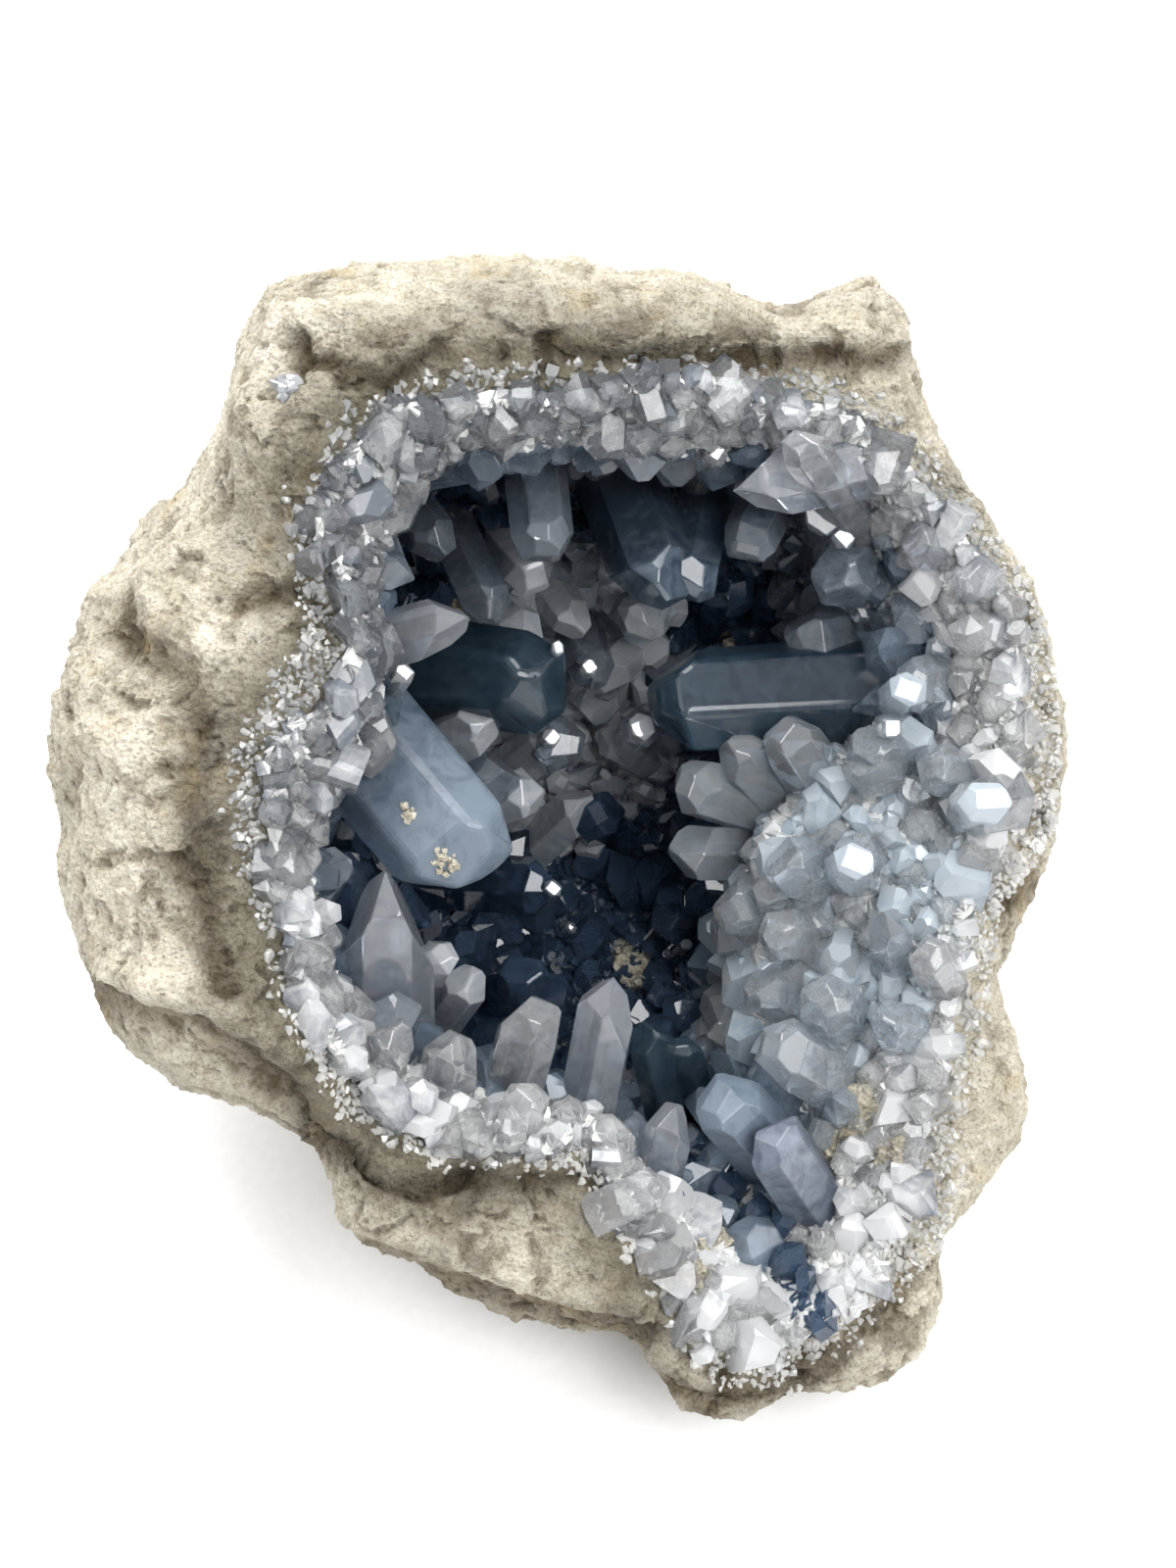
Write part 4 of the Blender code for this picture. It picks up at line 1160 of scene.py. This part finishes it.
chance = random.Random(13)
piece = add_piece("matrix_lumps", lumps(), LIMESTONE, "limestone_shell")
add_values(piece, "dirt", [LUMP_DIRT_AND_SHADE] * len(piece.data.vertices))
large_blue = tree_of(bpy.data.objects["large_milky"].data)
crumbs = small_bits(large_blue, CRUMB_CLUSTERS, CRUMB_WIDTHS, chance)[0]
add_piece("matrix_crumbs", crumbs, LIMESTONE, "limestone_shell")
whole, shades = small_bits(tree_of(rock_piece.data), PIT_CLUSTERS, PIT_WIDTHS, chance)
add_crystals("knob_crystals", whole, "ice", shades)

# %% [markdown]
# ## The crowd: where each finish belongs
# The real lining changes from place to place: clear and grey at the rim, pale blue on the mound at the
# lower right and smoky in the middle. In the depth and in a cleft below the mound it lies in shade, and
# its crystals there get a dark blue finish: painted shade. We could paint that as a map, but two
# ellipses, a path and the depth below the rim say it more plainly.

# %% Zones
MOUND = (Vector((835, 900)), (150, 205))  # an ellipse in the picture: its middle and half-widths
MIDDLE_WALL = (Vector((585, 700)), (120, 160))
PASSAGE = ((690, 1175), (735, 1215), (800, 1285), (830, 1350))  # the cleft in the lobe, which lies in shade; its crystals get the dark finish, painted shade
PASSAGE_WIDTH = 3.5 * MM
MOUND_DEPTH = 45 * MM
RIM_DEPTH = 12 * MM
WALL_DEPTH = 50 * MM


def in_ellipse(pixel, middle, reach):
    off = pixel - middle
    return (off.x / reach[0]) ** 2 + (off.y / reach[1]) ** 2 < 1


def zone_of(place):
    """Which finish belongs to a spot in the lining."""
    depth = below_rim(place)
    pixel = pixel_of(place)[0]
    if in_ellipse(pixel, *MOUND) and depth < MOUND_DEPTH:
        return "mound"
    # the cleft and the depth take the dark finish: painted shade
    if side_of_path(pixel, PASSAGE)[0] <= PASSAGE_WIDTH:
        return "deep"
    if depth < RIM_DEPTH:
        return "rim"
    if in_ellipse(pixel, *MIDDLE_WALL):
        return "smoky"
    return "wall" if depth < WALL_DEPTH else "deep"


for x, y in (MOUND[0], MIDDLE_WALL[0], PASSAGE[1]):
    print("at", (x, y), "the finish is", zone_of(seen_surface(CRUST_TREE, x, y)[0]))

# %% [markdown]
# ## The crowd: room to stand
# A crystal may not stand in another one. Comparing each new spot with all those before it would take
# millions of steps, so the crystals are kept in boxes, and only the boxes near a new spot are searched.

# %% Room between crystals
WIDEST = 11 * MM
BOX = 3 * MM
WALL_TRIANGLES = WALL.copy()
triangulate(WALL_TRIANGLES)
WALL_FACES = [([p.co.copy() for p in face.verts], face.normal.copy(), face.calc_area())
              for face in WALL_TRIANGLES.faces]
WALL_WEIGHTS = [area for _, _, area in WALL_FACES]


def box_of(place):
    return tuple(math.floor(v / BOX) for v in place)


def too_near(crowd, place, width, gap):
    """Whether a crystal of this width would overlap another by more than the gap allows."""
    reach = gap * (width + WIDEST) / 2
    corner = Vector((reach, reach, reach))
    ends = zip(box_of(place - corner), box_of(place + corner))
    for box in itertools.product(*(range(low, high + 1) for low, high in ends)):
        for other, other_width in crowd.get(box, ()):
            if (other - place).length < gap * (width + other_width) / 2:
                return True
    return False


def off_the_rim(place, chance):
    """Whether a crystal may not stand here; the crowd thins out over a short way."""
    return outside_rim(place) > abs(chance.gauss(0, RIM_BLUR))


def random_spot(chance):
    """A random place on the wall, and the wall's normal there."""
    corners, normal, _ = chance.choices(WALL_FACES, weights=WALL_WEIGHTS)[0]
    first, second = sorted((chance.random(), chance.random()))
    place = corners[0] * first + corners[1] * (second - first) + corners[2] * (1 - second)
    return place, normal


def in_large_crystal(place):
    for tip, back, length, half in LARGE_BODIES:
        along = (place - tip).dot(back)
        if 0 < along < 0.75 * length and (place - tip - back * along).length < half * 0.8:
            return True
    return False


print("the wall has", len(WALL_FACES), "triangles to stand on")

# %% [markdown]
# ## The crowd: scattering
# Large grains come first and smaller ones fill what room is left, as in a real lining. Each crystal
# leans away from the wall a little at random. On the bare rim the last, sugary ones grow straight on
# the limestone, thinner the farther they are from the crust.

# %% Scattering
BOTH = CHUNKS + CHUNKS + PRISMS
LAYERS = (
    # tries, spacing, widths in mm, heights by width, shapes, depths below the rim in mm, lean
    (7000, 0.66, (6, 11), (0.7, 1.2), BOTH, (14, 200), 0.5),
    (7000, 0.6, (5, 9), (0.55, 0.9), BOTH, (2, 20), 0.45),
    (12000, 0.6, (3.6, 6), (0.6, 1.0), BOTH, (-1, 200), 0.45),
    (40000, 0.58, (2, 3.6), (0.6, 1.0), CHUNKS, (-3, 200), 0.5),
    (30000, 0.5, (1.5, 2.4), (0.6, 1.0), CHUNKS, (-3, 34), 0.5),
)
LEAST_UPRIGHT = 0.35  # a crystal that leans more than this is left out
OVERHANG = 1.2 * MM  # how far a tip may reach past the rim line
RIM_FOOT = 0.5 * MM  # a foot stands this far off the wall at the rim, in the thin bed
FOOT_RISE = 1.6 * MM  # and this much farther where the bed is thick
FRINGE_TRIES = 40000
FRINGE_WIDTHS = (0.8 * MM, 2.0 * MM)


def leaning(normal, lean, chance):
    return (normal + Vector([chance.gauss(0, lean) for _ in range(3)])).normalized()


def scatter(crowd, chance, tries, gap, widths, heights, shapes, depths, lean):
    """Spots spaced by a gap, a share of the crystal's width, each with a direction, size and shape."""
    spots = []
    for _ in range(tries):
        place, normal = random_spot(chance)
        depth = below_rim(place)
        if not depths[0] * MM < depth < depths[1] * MM:
            continue
        width = chance.uniform(widths[0] * MM, widths[1] * MM)
        if off_the_rim(place, chance) or too_near(crowd, place, width, gap):
            continue
        away = leaning(normal, lean, chance)
        if away.dot(normal) < LEAST_UPRIGHT:
            continue
        height = width * chance.uniform(*heights)
        foot = place + normal * (RIM_FOOT + FOOT_RISE * ease(depth, 0, THIN_DEPTH))
        tip = foot + away * height
        if outside_rim(tip) > OVERHANG or in_large_crystal(tip):
            continue
        crowd[box_of(place)].append((place, width))
        spots.append((foot, away, width, height, chance.choice(shapes), zone_of(foot)))
    return spots


def fringe_spots(crowd, chance):
    """Sugary crystals on the bare rim, thinning out away from the crust."""
    spots = []
    for _ in range(FRINGE_TRIES):
        place, normal, crust = chance.choice(FRINGE_FACES)
        if chance.random() < (crust / FRINGE_REACH) ** 0.6 or off_the_rim(place, chance):
            continue
        width = chance.uniform(*FRINGE_WIDTHS) * (1.25 - 0.5 * crust / FRINGE_REACH)
        if too_near(crowd, place, width, 0.55):
            continue
        away = leaning(normal, 0.5, chance)
        crowd[box_of(place)].append((place, width))
        foot = place - normal * 0.42 * width
        spots.append((foot, away, width, width * chance.uniform(0.6, 1.0), chance.choice(CHUNKS), "fringe"))
    return spots


chance = random.Random(21)
crowd = collections.defaultdict(list)
for x, y, width, _ in MATRIX_LUMPS:
    place = seen_surface(ROCK_TREE, x, y)[0]
    crowd[box_of(place)].append((place, 0.6 * width * MM))
spots = []
for layer in LAYERS:
    spots += scatter(crowd, chance, *layer)
spots += fringe_spots(crowd, chance)
print("scattered", len(spots), "crystals")

# %% [markdown]
# ## The crowd: growing it
# Now a prototype is copied to each spot. Some crystals take the veiled partner of their zone's finish,
# most of them at the lower right. There painted light makes the lining paler, and at the top painted
# shade makes it darker. All crystals of one finish are joined into one mesh, which is far lighter to
# handle than thousands of objects.

# %% Growing the crowd
VEILED = {"rim": "ice", "mound": "haze", "wall": "slate"}  # the veiled partner of a clear finish
VEILED_SHARE = 0.35


def painted_light_at(place):
    """Painted light and shade on the lining: how much paler it is here than on average, palest at the lower
    right and darkest at the top left.
    """
    pixel = pixel_of(place)[0]
    return 0.9 * ease(pixel.y + 0.6 * pixel.x, 750, 1550) - 0.4


def grown(spots, chance):
    """Copies of the prototypes at the spots, with their shades, by finish."""
    by_finish = {}
    for foot, away, width, height, shape, zone in spots:
        painted_light = painted_light_at(foot)
        data = shape.copy()
        # a random tone for each crystal, plus painted light and shade by place
        shades = shades_along(data, chance.uniform(0.1, 0.9) + painted_light, -0.4, 0.9)
        size = (width, width * chance.uniform(0.75, 1.1), height, 1)
        stand(data, foot, away, chance.uniform(0, 6.3), size)
        finish = VEILED.get(zone, zone) if chance.random() < VEILED_SHARE + 0.5 * painted_light else zone
        by_finish.setdefault(finish, []).append((data, shades))
    return by_finish


for finish, shapes in sorted(grown(spots, chance).items()):
    whole, shades = join_shapes(shapes)
    add_crystals("crowd_" + finish, whole, finish, shades)
WALL.free()
WALL_TRIANGLES.free()
